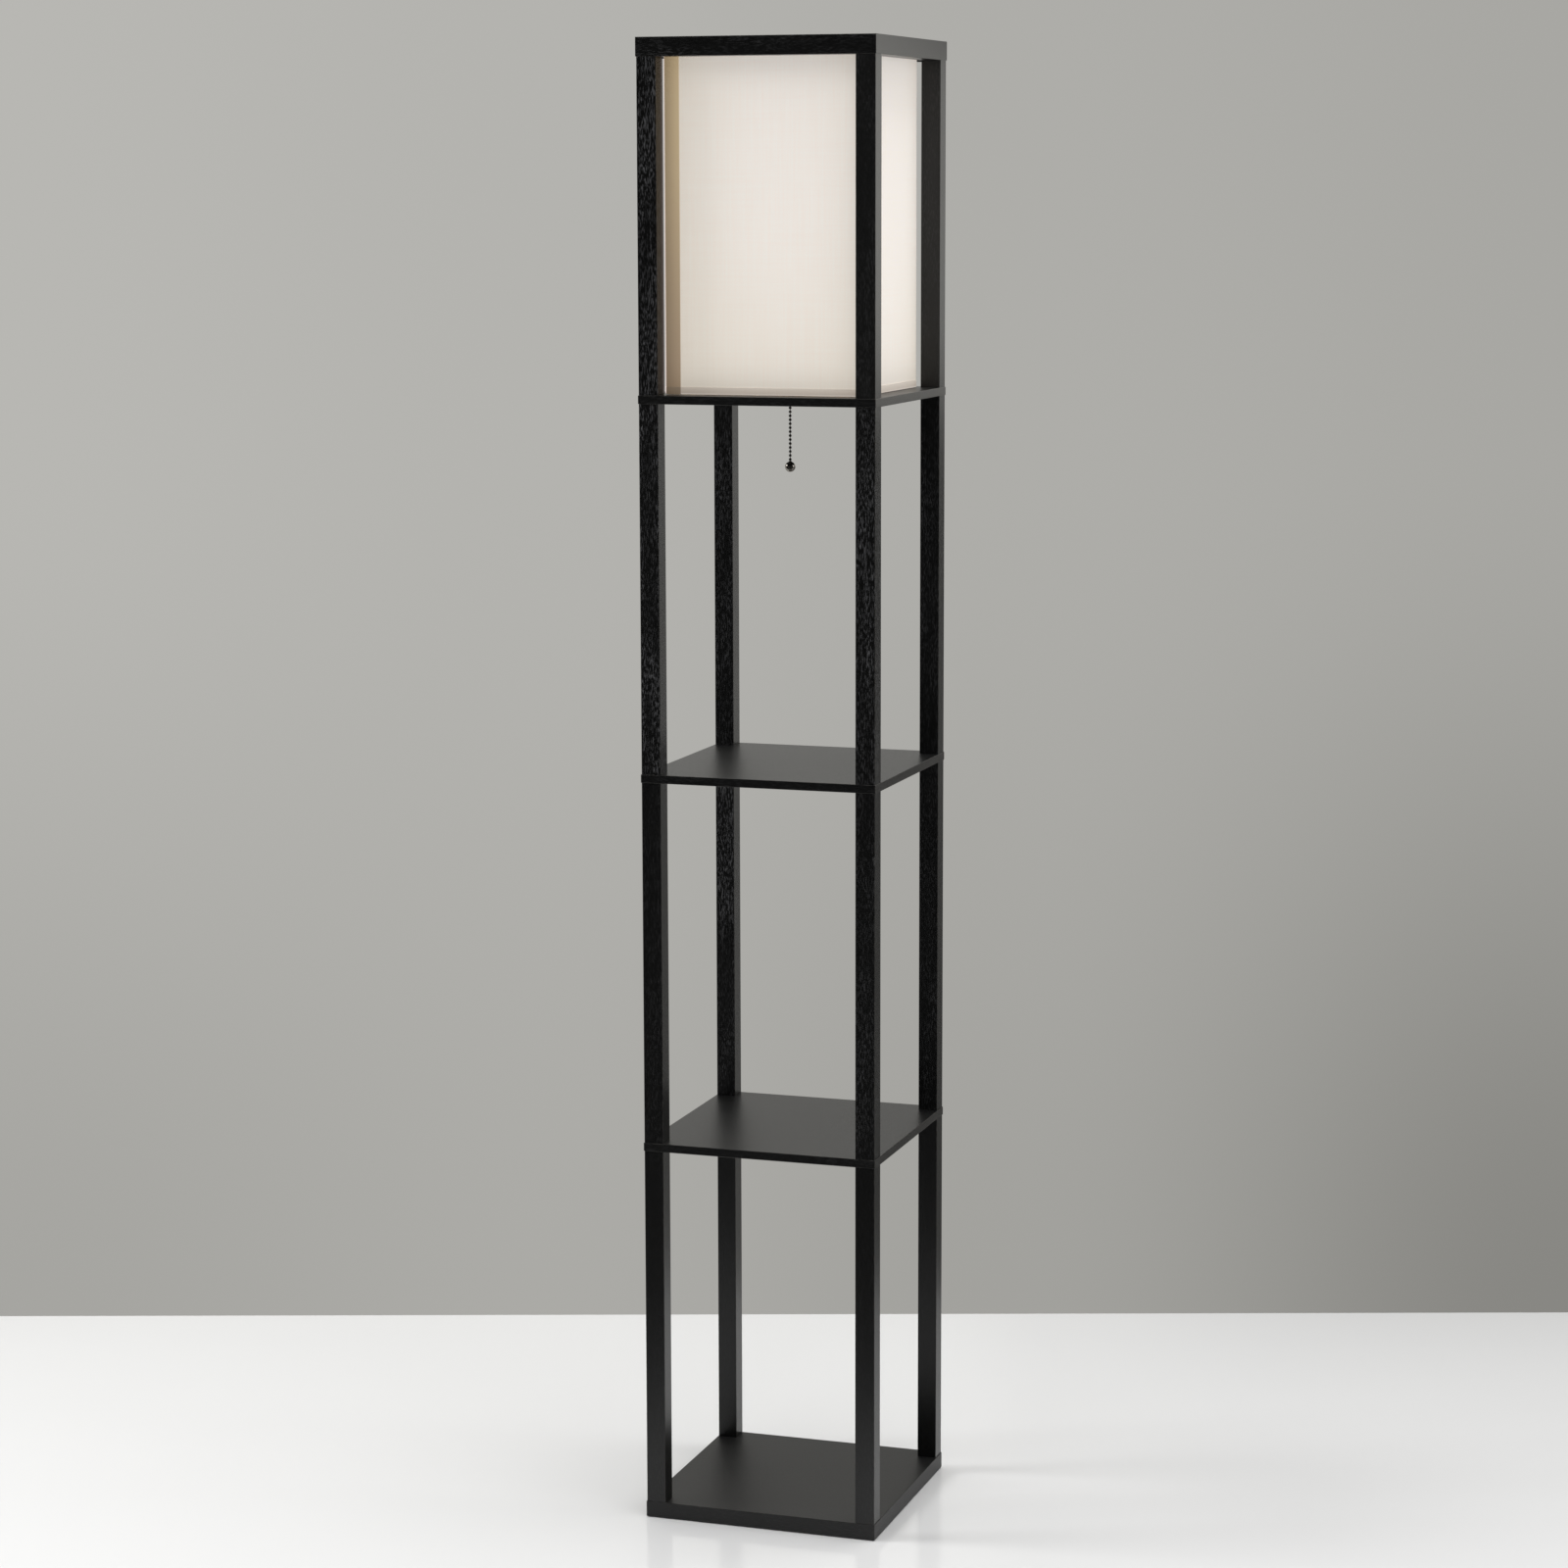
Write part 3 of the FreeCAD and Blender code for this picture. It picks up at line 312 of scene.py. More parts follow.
def shade_cloth(name, threads, pale, warm, through, foot=None):
    """Ivory cloth with the bulb behind it; its glow is painted light, an emission colour and not light from the
    bulb; through is its low and high painted glow where the lap doubles it.
    """
    material, tree, sockets = new_finish(name, 0.85)
    place = place_of(tree)
    x, y, z = parts_of(tree, place)
    weave = use_group(tree, WEAVE, Place=place, Threads=threads)
    glow = use_group(tree, PAINTED_GLOW, Place=place, Middle=PAINTED_GLOW_MIDDLE, Reach=0.205)["Glow"]
    # Painted glow: warm where it falls off, pale near its middle, dimmer along thick threads.
    tint = blended(tree, ranged(tree, glow, 0.52, 0.86), warm, pale)
    tint = blended(tree, ranged(tree, weave["Slub"], 0.3, 0.75, 0.0, 0.12), tint, srgb(168, 148, 124))
    # Painted highlight: a paler glow on the front face's left corner, left of the lap.
    front = maths(tree, "LESS_THAN", y, SHADE_Y - SHADE_HALF + SHADE_CORNER)
    corner = maths(tree, "MULTIPLY", ranged(tree, x, SEAM_LEFT, SEAM_LEFT - 0.0005), front)
    tint = blended(tree, corner, tint, srgb(235, 214, 208))
    # Painted highlight: foot gives a paler glow to the lowest strip of the tape.
    if foot:
        tint = blended(tree, ranged(tree, z, SHADE_LOW + 0.0014, SHADE_LOW + 0.0004), tint, foot)
    cloth = blended(tree, weave["Slub"], srgb(222, 216, 208), srgb(204, 197, 187))
    inside = maths(tree, "MULTIPLY", ranged(tree, x, SEAM_LEFT - 0.0006, SEAM_LEFT + 0.0006),
                   ranged(tree, x, SEAM_RIGHT + 0.0005, SEAM_RIGHT - 0.0005))
    doubled = maths(tree, "MULTIPLY", inside, maths(tree, "LESS_THAN", y, SHADE_Y - SHADE_HALF + 0.001))
    low, high = through
    # Painted shade: the lap's glow is dimmer than the single cloth, darker low down and towards its left edge.
    lap = blended(tree, ranged(tree, z, SHADE_LOW, SHADE_HIGH - 0.05), low, high)
    lap = blended(tree, ranged(tree, x, SEAM_LEFT, SEAM_RIGHT, 0.45, 0.0), lap, srgb(70, 54, 38))
    feed(tree, blended(tree, doubled, cloth, srgb(150, 138, 120)), sockets["Base Color"])
    # The cloth's ivory is its own colour; its glow is painted as emission.
    feed(tree, blended(tree, doubled, tint, lap), sockets["Emission Color"])
    sockets["Emission Strength"].default_value = 1.0
    sockets["Sheen Weight"].default_value = 0.15
    feed(tree, relief(tree, weave["Height"], 0.00016, 0.5), sockets["Normal"])
    return material


def liner_sheet():
    """Stiff white plastic sheet behind the cloth, lit by the bulb inside."""
    material, tree, sockets = new_finish("liner sheet", 0.4)
    place = place_of(tree)
    marks = use_group(tree, HANDLING, Place=place, Fineness=(900.0, 900.0, 60.0))
    feed(tree, blended(tree, marks["Rub"], srgb(240, 236, 226), srgb(226, 221, 210)), sockets["Base Color"])
    feed(tree, maths(tree, "MULTIPLY_ADD", marks["Marks"], 0.15, 0.36), sockets["Roughness"])
    feed(tree, relief(tree, marks["Rub"], 0.00004, 0.4), sockets["Normal"])
    return material


def metal(name, colour, worn, roughness, fineness=(2600.0, 2600.0, 2600.0), depth=0.00002):
    material, tree, sockets = new_finish(name, roughness, 1.0)
    marks = use_group(tree, HANDLING, Place=place_of(tree), Fineness=fineness)
    feed(tree, blended(tree, maths(tree, "MULTIPLY", marks["Marks"], 0.6), colour, worn), sockets["Base Color"])
    rough = maths(tree, "MULTIPLY_ADD", marks["Rub"], 0.14, roughness - 0.07)
    feed(tree, maths(tree, "MULTIPLY_ADD", marks["Marks"], 0.06, rough), sockets["Roughness"])
    feed(tree, relief(tree, marks["Rub"], depth, 0.4), sockets["Normal"])
    return material


def moulding(name, colour, second, roughness, fineness=(5200.0, 5200.0, 5200.0), depth=0.00005):
    material, tree, sockets = new_finish(name, roughness)
    marks = use_group(tree, HANDLING, Place=place_of(tree), Fineness=fineness)
    feed(tree, blended(tree, marks["Rub"], colour, second), sockets["Base Color"])
    feed(tree, maths(tree, "MULTIPLY_ADD", marks["Marks"], 0.12, roughness), sockets["Roughness"])
    feed(tree, relief(tree, marks["Rub"], depth, 0.5), sockets["Normal"])
    return material


def frosted_glass():
    """White-coated bulb glass, lit: palest at the bulge, warmer towards the neck."""
    material, tree, sockets = new_finish("frosted bulb glass", 0.22)
    place = place_of(tree)
    marks = use_group(tree, HANDLING, Place=place, Fineness=(700.0, 700.0, 700.0))
    z = parts_of(tree, place)[2]
    warm = blended(tree, ranged(tree, z, BULGE_Z - 0.055, BULGE_Z), srgb(236, 196, 140), srgb(255, 236, 208))
    feed(tree, blended(tree, marks["Rub"], srgb(240, 236, 228), srgb(232, 227, 218)), sockets["Base Color"])
    feed(tree, warm, sockets["Emission Color"])
    sockets["Emission Strength"].default_value = 5.0
    sockets["Coat Weight"].default_value = 0.8
    feed(tree, maths(tree, "MULTIPLY_ADD", marks["Marks"], 0.1, 0.18), sockets["Roughness"])
    return material


def timber(name, colour, second, fineness):
    material, tree, sockets = new_finish(name, 0.6)
    grain = use_group(tree, GRAIN, Place=place_of(tree), Fineness=fineness)
    feed(tree, blended(tree, grain["Lines"], colour, second), sockets["Base Color"])
    feed(tree, maths(tree, "MULTIPLY_ADD", grain["Pores"], 0.2, 0.55), sockets["Roughness"])
    feed(tree, relief(tree, grain["Lines"], 0.0001, 0.5), sockets["Normal"])
    return material


UPRIGHT, ACROSS, DEEP = (1200.0, 1200.0, 180.0), (180.0, 1200.0, 1200.0), (1200.0, 180.0, 1200.0)
FAR = 9.0                        # no edge there


def veneer_of_board(node, polish, painted_side_light=None):
    low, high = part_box(node)
    return black_veneer(f"black {node}", ACROSS, (-FAR, -FAR, low.z), (HALF, HALF, high.z), 0.12,
                        polish=polish, painted_side_light=painted_side_light)


def veneer_of_post(bay, corner, pores):
    """Each post has its own share of pale open pores, which are partly painted glints; the lantern's posts are
    less glossy.
    """
    lantern = bay == "lantern"
    return black_veneer(f"black {bay} post {corner}", UPRIGHT, (POST_IN, POST_IN, -FAR),
                        (POST_OUT, POST_OUT, FAR), pores, gloss=0.34 if lantern else 0.5,
                        film=PALER_FILM if lantern and pores < 0.5 else FILM)


CORNERS = ("front_left", "front_right", "rear_left", "rear_right")
POST_PORES = {"lantern": (0.8, 0.2, 0.8, 0.2), "upper": (1.0, 0.8, 0.6, 0.3),
              "middle": (0.15, 0.4, 0.8, 0.3), "lower": (0.08, 0.08, 0.06, 0.04)}
POST_VENEERS = {f"{bay}_post_{corner}": veneer_of_post(bay, corner, pores)
                for bay, amounts in POST_PORES.items() for corner, pores in zip(CORNERS, amounts)}
rail_across = black_veneer("black rails across", ACROSS, (-FAR, POST_IN, RAIL_LOW),
                           (FAR, HALF, RAIL_HIGH), 0.25)
rail_deep = black_veneer("black rails deep", DEEP, (POST_IN, -FAR, RAIL_LOW),
                         (HALF, FAR, RAIL_HIGH), 0.1, gloss=0.3)
# Painted glow colours: the emission of the cloth, its lap and the edge tapes.
PAINTED_GLOW_PALE, PAINTED_GLOW_WARM = srgb(168, 164, 162), srgb(152, 145, 133)
PAINTED_LAP_GLOW = (srgb(112, 92, 72), srgb(152, 133, 100))
cloth = shade_cloth("ivory shade cloth", 2600.0, PAINTED_GLOW_PALE, PAINTED_GLOW_WARM, PAINTED_LAP_GLOW)
# The tape's foot colour is a painted paler glow along the bottom tape's lowest edge.
tape = shade_cloth("shade edge tape", 1700.0, srgb(124, 114, 106), srgb(114, 103, 92),
                   (srgb(84, 70, 56), srgb(120, 104, 78)), foot=srgb(150, 142, 134))
liner = liner_sheet()
bulb_coat = frosted_glass()
black_nickel = metal("black nickel", srgb(132, 129, 124), srgb(150, 142, 132), 0.12)
bead_metal = metal("black nickel beads", srgb(80, 78, 75), srgb(100, 95, 88), 0.2)
zinc = metal("zinc plate", srgb(196, 196, 192), srgb(170, 172, 172), 0.32)
brass = metal("lacquered brass", srgb(206, 168, 96), srgb(180, 138, 74), 0.26, (900.0, 900.0, 5200.0))
insert_brass = metal("insert brass", srgb(188, 152, 88), srgb(160, 122, 70), 0.34)
nickel = metal("nickel cap", srgb(206, 202, 192), srgb(184, 178, 164), 0.22, (900.0, 900.0, 5200.0))
dull_steel = metal("spring steel", srgb(160, 158, 152), srgb(132, 130, 124), 0.3)
solder = metal("tip solder", srgb(186, 184, 178), srgb(150, 146, 138), 0.38)
white_enamel = moulding("white enamel wire", srgb(238, 236, 230), srgb(226, 223, 215), 0.3)
black_enamel = moulding("black enamel wire", srgb(26, 26, 27), srgb(38, 37, 36), 0.32)
phenolic = moulding("black phenolic", srgb(24, 22, 21), srgb(38, 34, 31), 0.36)
black_glass = moulding("black glass", srgb(14, 13, 16), srgb(22, 20, 24), 0.12, (900.0, 900.0, 900.0), 0.00001)
fibre = moulding("insulating fibre", srgb(128, 110, 88), srgb(98, 82, 64), 0.82, (900.0, 900.0, 4200.0))
nylon = moulding("white nylon", srgb(228, 226, 218), srgb(214, 211, 202), 0.45)
felt = moulding("black felt", srgb(34, 33, 33), srgb(62, 60, 58), 0.95, (3200.0, 3200.0, 3200.0), 0.0005)
beech = timber("beech dowel", srgb(196, 158, 114), srgb(168, 128, 86), (900.0, 900.0, 900.0))


# ---- making pieces ---------------------------------------------------------------------------
def piece(name, points, faces, finish, body, nodes=(), slot=None, sharp=32.0):
    mesh = bpy.data.meshes.new(name)
    mesh.from_pydata(points, [], faces)
    form = bmesh.new()
    form.from_mesh(mesh)
    bmesh.ops.remove_doubles(form, verts=form.verts, dist=1e-6)
    bmesh.ops.dissolve_degenerate(form, dist=1e-7, edges=form.edges)
    bmesh.ops.recalc_face_normals(form, faces=form.faces)
    form.to_mesh(mesh)
    form.free()
    mesh.polygons.foreach_set("use_smooth", [True] * len(mesh.polygons))
    mesh.set_sharp_from_angle(angle=math.radians(sharp))
    mesh.materials.append(finish)
    obj = bpy.data.objects.new(name, mesh)
    bpy.context.scene.collection.objects.link(obj)
    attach(obj, body)
    if nodes:
        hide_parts(*nodes)
    return obj


def bands(rows, close_rows, close_columns):
    """Points and faces of a net of rows that all have the same number of points."""
    width = len(rows[0])
    points = [point for row in rows for point in row]
    faces = []
    for r in range(len(rows) if close_rows else len(rows) - 1):
        below, above = r * width, (r + 1) % len(rows) * width
        for c in range(width if close_columns else width - 1):
            d = (c + 1) % width
            faces.append((below + c, below + d, above + d, above + c))
    return points, faces


def merged(nets):
    points, faces = [], []
    for some_points, some_faces in nets:
        shift = len(points)
        points += some_points
        faces += [tuple(index + shift for index in face) for face in some_faces]
    return points, faces


def lathe(outline, x=0.0, y=0.0, steps=64):
    """Net of an outline of (radius, height) turned about an upright line. The outline is a loop."""
    rows = []
    for step in range(steps):
        angle = 2 * math.pi * step / steps
        rows.append([(x + r * math.cos(angle), y + r * math.sin(angle), z) for r, z in outline])
    return bands(rows, True, True)


def in_mm(base, *points):
    """Outline points given in millimetres as radius and height above a base."""
    return [(r * MM, base + z * MM) for r, z in points]


def arc(centre_r, centre_z, radius, start, end, steps):
    """Points of an arc in the outline plane, angles in degrees."""
    return [(centre_r + radius * math.cos(math.radians(start + (end - start) * i / steps)),
             centre_z + radius * math.sin(math.radians(start + (end - start) * i / steps)))
            for i in range(steps + 1)]


ROUND_END = [(0.0, 1.0), (0.4, 0.917), (0.8, 0.6), (1.0, 0.02)]      # along and across, in radii


def wire(path, radius, closed=False, sides=14):
    """Round wire along a path of points, with rounded ends."""
    path = [Vector(p) for p in path]
    count = len(path)
    rows = []
    side = None
    for i, point in enumerate(path):
        before = path[i - 1] if closed or i else point
        after = path[(i + 1) % count] if closed or i < count - 1 else point
        along = (after - before).normalized()
        if side is None:
            side = along.orthogonal().normalized()
        side = (side - along * side.dot(along)).normalized()
        other = along.cross(side)
        rings = [(0.0, 1.0)]
        if not closed and i == 0:
            rings = [(-ahead, wide) for ahead, wide in ROUND_END[::-1]]
        if not closed and i == count - 1:
            rings = ROUND_END
        for ahead, wide in rings:
            middle = point + along * ahead * radius
            rows.append([middle + (side * math.cos(a) + other * math.sin(a)) * radius * wide
                         for a in (2 * math.pi * s / sides for s in range(sides))])
    points, faces = bands(rows, closed, True)
    if not closed:
        last = len(points) - sides
        faces += [tuple(range(sides)), tuple(range(last, last + sides))]
    return points, faces


# ---- the shade -------------------------------------------------------------------------------
def plan_of_shade():
    """Stations round the shade: place, outward direction and distance, from the left of the front."""
    step, corner_steps = 0.006, 7
    straight = SHADE_HALF - SHADE_CORNER
    stations = []
    distance = 0.0
    pieces = round(2 * straight / step)
    for turn in range(4):
        spin = Matrix.Rotation(turn * math.pi / 2, 3, "Z")
        for i in range(pieces):
            along = -straight + 2 * straight * i / pieces
            stations.append((spin @ Vector((along, -SHADE_HALF, 0)), spin @ Vector((0, -1, 0)),
                             distance + 2 * straight * i / pieces))
        distance += 2 * straight
        for i in range(corner_steps):
            angle = -math.pi / 2 + math.pi / 2 * i / corner_steps
            out = Vector((math.cos(angle), math.sin(angle), 0))
            stations.append((spin @ (Vector((straight, -straight, 0)) + out * SHADE_CORNER), spin @ out,
                             distance + SHADE_CORNER * math.pi / 2 * i / corner_steps))
        distance += SHADE_CORNER * math.pi / 2
    middle = Vector((SHADE_X, SHADE_Y, 0))
    return [(middle + place, out, at) for place, out, at in stations], distance


STATIONS, ROUND = plan_of_shade()


def round_shade(profile):
    """Closed band round the shade; profile is a loop of (outward, height)."""
    rows = [[place + out * o + Vector((0, 0, z)) for o, z in profile] for place, out, _ in STATIONS]
    return bands(rows, True, True)


def wrapped_cloth():
    """The cloth: one strip that starts under its own lap, goes round, and ends on the front face."""
    thick = 0.35 * MM
    rows_up = 61
    levels = [SHADE_LOW + (SHADE_HIGH - SHADE_LOW) * i / (rows_up - 1) for i in range(rows_up)]
    track = list(STATIONS)
    start, face_out, _ = STATIONS[0]
    lap_steps = 6
    for i in range(lap_steps + 1):
        along = SEAM * i / lap_steps
        track.append((start + Vector((along, 0, 0)), face_out, ROUND + along))
    rows = []
    for place, out, at in track:
        over = max(0.0, min(1.0, (at - (ROUND - 0.006)) / 0.006))
        proud = over * over * (3 - 2 * over) * 0.4 * MM
        outer, inner = [], []
        for z in levels:
            share = (z - SHADE_LOW) / (SHADE_HIGH - SHADE_LOW)
            ripple = noise.noise(Vector((place.x * 9, place.y * 9, z * 7))) * math.sin(math.pi * share)
            off = proud - 0.00022 * (0.4 + ripple)
            outer.append(place + out * off + Vector((0, 0, z)))
            inner.append(place + out * (off - thick) + Vector((0, 0, z)))
        rows.append(outer + inner[::-1])
    points, faces = bands(rows, False, True)
    for first in (0, (len(rows) - 1) * 2 * rows_up):
        for i in range(rows_up - 1):
            j = 2 * rows_up - 1 - i
            faces.append((first + i, first + i + 1, first + j - 1, first + j))
    return points, faces


def folded_tape(edge, into):
    """Tape folded over one edge of the shade, with a turned hem at its lower visible side."""
    out, back, thick = 0.4 * MM, 3.6 * MM, 0.35 * MM
    face = edge + into * TAPE_FACE
    inside = edge + into * 4.6 * MM
    low = edge - into * 0.4 * MM
    outer = [(0.0, face), (out * 0.7, face), (out, face - into * 0.3 * MM), (out, edge + into * 0.5 * MM),
             (out * 0.6, low + into * 0.15 * MM), (0.0, low), (-back + 0.3 * MM, low),
             (-back, low + into * 0.3 * MM), (-back, inside)]
    inner = [(-back + thick, inside), (-back + thick, edge), (-0.1 * MM, edge), (0.0, edge + into * 0.3 * MM)]
    return round_shade(outer + inner)


def make_shade():
    sheet = piece("shade_cloth", *wrapped_cloth(), cloth, "frame", ["shade_fabric"], "shade_cloth", sharp=50)
    top = piece("shade_top_tape", *folded_tape(SHADE_HIGH, -1), tape, "frame", ["shade_top_trim"], "shade_tape")
    bottom = piece("shade_bottom_tape", *folded_tape(SHADE_LOW, 1), tape, "frame", ["shade_bottom_trim"],
                   "shade_tape")
    wall = [(-0.6 * MM, SHADE_LOW + 0.4 * MM), (-0.6 * MM, SHADE_HIGH - 0.4 * MM),
            (-1.6 * MM, SHADE_HIGH - 0.4 * MM), (-1.6 * MM, SHADE_LOW + 0.4 * MM)]
    piece("liner_sheet", *round_shade(wall), liner, "frame", ["shade_liner"], "shade_liner")


def ring_path(z):
    """Middle line of a shade ring: straight runs with bent corners."""
    path = []
    corner, half = RING_CORNER, SHADE_HALF - RING_IN
    straight = half - corner
    for turn in range(4):
        spin = Matrix.Rotation(turn * math.pi / 2, 3, "Z")
        for i in range(8):
            path.append(spin @ Vector((-straight + 2 * straight * i / 8, -half, 0)))
        for i in range(9):
            a = -math.pi / 2 + math.pi / 2 * i / 8
            path.append(spin @ Vector((straight + corner * math.cos(a), -straight + corner * math.sin(a), 0)))
    return [p + Vector((SHADE_X, SHADE_Y, z)) for p in path]


def distinct(path):
    """The path without points that fall on the one before."""
    kept = []
    for p in path:
        if not kept or (p - kept[-1]).length > 1e-6:
            kept.append(p)
    return kept


def make_rings():
    for name in ("shade_top_ring", "shade_bottom_ring"):
        low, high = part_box(name)
        path = distinct(ring_path((low.z + high.z) / 2))
        piece(f"wire_{name}", *wire(path, (high.z - low.z) / 2, closed=True, sides=16), white_enamel, "frame",
              [name], "white_wire")


# ---- the bulb and its holder -----------------------------------------------------------------
def bulb_outline(inward):
    """Glass outline from the crown down to the neck, moved inwards."""
    neck, bulge = 0.0122, BULGE
    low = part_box("bulb_cap")[1].z
    drop = BULGE_Z - low
    sweep = 2 * math.atan((bulge - neck) / drop)
    bend = drop / (2 * math.sin(sweep))
    degrees = math.degrees(sweep)
    outline = arc(0, BULGE_Z, bulge - inward, 90, 0, 22)
    outline += arc(bulge - bend, BULGE_Z, bend - inward, 0, -degrees, 16)[1:]
    outline += arc(neck + bend, low, bend + inward, 180 - degrees, 180, 16)[1:]
    return outline + [(neck - inward, low - 0.004)]


def rolled_thread(low, high, inside, wall, steps=72):
    """Thin tube with a rolled thread; inside is the mean radius of its inner face."""
    roll = 0.45 * MM
    levels = 70
    rows = []
    for step in range(steps):
        angle = 2 * math.pi * step / steps
        loop = []
        for skin, order in ((wall, range(levels + 1)), (0.0, range(levels, -1, -1))):
            for i in order:
                z = low + (high - low) * i / levels
                end = min(1.0, min(z - low, high - z) / (1.6 * MM))
                wave = math.cos(2 * math.pi * (z / BULB_TURN - step / steps))
                radius = inside + skin + roll * (1 - end * (1 - wave))
                loop.append((radius * math.cos(angle), radius * math.sin(angle), z))
        rows.append(loop)
    return bands(rows, True, True)


def make_bulb():
    outside, inside = bulb_outline(0.0), bulb_outline(0.9 * MM)
    piece("bulb_envelope", *lathe(outside + inside[::-1]), bulb_coat, "bulb", ["bulb_glass"], "bulb_glass")
    low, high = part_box("bulb_cap")
    collar_low = high.z - 1.2 * MM
    cap = rolled_thread(low.z + 0.6 * MM, collar_low, 12.25 * MM, 0.35 * MM)
    foot = lathe(in_mm(low.z, (11.5, 0), (12.6, 0), (13.0, 0.7), (12.7, 0.7), (12.4, 0.4), (11.5, 0.4)))
    collar = lathe(in_mm(collar_low, (12.7, -0.1), (13.05, 0))
                   + in_mm(high.z, (13.05, -0.5), (12.8, 0), (12.25, 0)) + in_mm(collar_low, (12.25, 0)))
    piece("bulb_screw_cap", *merged([cap, foot, collar]), nickel, "bulb", ["bulb_cap"], "bulb_cap_metal")
    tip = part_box("bulb_tip")[0].z
    button = arc(0, tip + 4.0 * MM, 4.0 * MM, -90, -45, 6) + in_mm(tip, (3.4, 1.4), (3.4, 3.0), (0, 3.0))
    piece("tip_button", *lathe(button, steps=40), solder, "bulb_contact", ["bulb_tip"], "bulb_tip")
    cone = in_mm(tip, (3.5, 1.2), (6.0, 1.0), (8.6, 1.9), (11.1, 3.0), (11.1, 3.4), (3.5, 3.4))
    piece("tip_insulator", *lathe(cone, steps=48), black_glass, "bulb_contact")


def make_holder():
    low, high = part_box("screw_shell")
    shell = rolled_thread(low.z + 2.4 * MM, high.z, 12.6 * MM, 0.35 * MM)
    foot = lathe(in_mm(low.z, (8.0, 0), (13.2, 0), (13.5, 2.6), (13.1, 2.6), (12.8, 0.6), (8.0, 0.6)))
    piece("thread_shell", *merged([shell, foot]), brass, "frame", ["screw_shell"], "holder_brass")


# ---- the pull chain --------------------------------------------------------------------------
def bead(z):
    """Hollow bead with the small turned-in mouths that hold its links."""
    mouth = math.degrees(math.acos(0.55 * MM / BEAD))
    side = arc(0, z, BEAD, mouth, -mouth, 14)
    return lathe(in_mm(z, (0, 1.25), (0.42, 1.25)) + side + in_mm(z, (0.42, -1.25), (0, -1.25)),
                 CHAIN_X, CHAIN_Y, 24)


def link(z_low, z_high):
    heights = (z_low, (z_low + z_high) / 2, z_high)
    return wire([(CHAIN_X, CHAIN_Y, z) for z in heights], 0.36 * MM, sides=10)


def bead_string(first, last):
    """Beads and the short links between them, counted from the swinging bead."""
    nets = []
    for number in range(first, last + 1):
        nets.append(bead(SWING_Z - BEAD_PITCH * number))
        if number < last:
            middle = SWING_Z - BEAD_PITCH * (number + 0.5)
            nets.append(link(middle - 0.9 * MM, middle + 0.9 * MM))
    return nets


def make_chain():
    low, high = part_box("upper_chain")
    ring_z, ring_radius, mouth = high.z - 2.85 * MM, 2.4 * MM, 1.2 * MM
    ring = wire([(CHAIN_X + ring_radius * math.cos(a), CHAIN_Y, ring_z + ring_radius * math.sin(a))
                 for a in (2 * math.pi * i / 40 for i in range(40))], 0.45 * MM, closed=True, sides=12)
    neck = link(SWING_Z + GUIDED_BEADS * BEAD_PITCH + mouth, ring_z - 2.5 * MM)
    stub = link(low.z + 0.1 * MM, SWING_Z + BEAD_PITCH - mouth)
    piece("guided_beads", *merged([ring, neck, stub, *bead_string(-GUIDED_BEADS, -1)]), bead_metal,
          "guided_chain", ["upper_chain"], "chain_metal")
    piece("knuckle_bead", *bead(SWING_Z), bead_metal, "chain_knuckle", ["swing_bead"], "chain_metal")
    lower_low, lower_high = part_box("lower_chain")
    last = math.floor((SWING_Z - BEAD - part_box("pull_ball")[1].z) / BEAD_PITCH + 0.001)
    beads = bead_string(1, last)
    stub = link(SWING_Z - BEAD_PITCH + mouth, lower_high.z - 0.1 * MM)
    end = link(lower_low.z - 0.2 * MM, SWING_Z - BEAD_PITCH * last - mouth)
    piece("hanging_beads", *merged([stub, end, *beads]), bead_metal, "hanging_chain", ["lower_chain"],
          "chain_metal")


def make_pull():
    """Ball with a fine seam round its middle, and the small collar that the chain ends in."""
    low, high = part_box("pull_ball")
    z, top, groove = low.z + BALL, 70, BALL - 0.12 * MM
    seam = [(groove, z + 0.05 * MM), (groove, z - 0.05 * MM)]
    ball = arc(0, z, BALL, top, 2, 20) + seam + arc(0, z, BALL, -2, -90, 26)
    neck_z = z + BALL * math.sin(math.radians(top))
    collar = in_mm(high.z, (0, -0.1), (1.0, -0.1), (1.3, 0), (1.5, -0.06), (1.68, -0.35))
    collar += in_mm(neck_z, (1.8, 0.12))
    piece("pull_ball_and_collar", *lathe(collar + ball, CHAIN_X, CHAIN_Y, 64), black_nickel, "hanging_chain",
          ["pull_ball"], "chain_metal")


# ---- small pieces ----------------------------------------------------------------------------
def make_pads():
    low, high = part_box("foot_pads")
    outline = in_mm(high.z, (0, 0), (8.9, 0)) + in_mm(low.z, (8.9, 0.8), (8.7, 0.25), (8.2, 0), (0, 0))
    nets = [lathe(outline, sx * PAD_PLACE, sy * PAD_PLACE, 40) for sx in (-1, 1) for sy in (-1, 1)]
    piece("felt_pads", *merged(nets), felt, "frame", ["foot_pads"], "foot_felt")


def make_hooks():
    """Wire hooks from the top ring's corners out into the saw cuts of the posts."""
    low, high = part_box("shade_hooks")
    radius, bend, sunk = HOOK_WIRE, 2.0 * MM, 0.004
    z = low.z + radius
    reach = SHADE_HALF - RING_IN - RING_CORNER * (1 - math.sqrt(0.5))
    nets = []
    for sx in (-1, 1):
        for sy in (-1, 1):
            elbow = Vector((SHADE_X + sx * reach, SHADE_Y + sy * reach, z))
            tip = Vector((sx * (POST_IN + sunk), sy * (POST_IN + sunk), z))
            out = (tip - elbow).normalized()
            path = [elbow + Vector((0, 0, high.z - z - radius))]
            for i in range(7):
                a = math.pi / 2 * i / 6
                up = Vector((0, 0, bend * (1 - math.sin(a))))
                path.append(elbow + out * bend * (1 - math.cos(a)) + up)
            path.append(tip - out * radius)
            nets.append(wire(distinct(path), radius))
    piece("wire_hooks", *merged(nets), black_enamel, "frame", ["shade_hooks"], "black_wire")


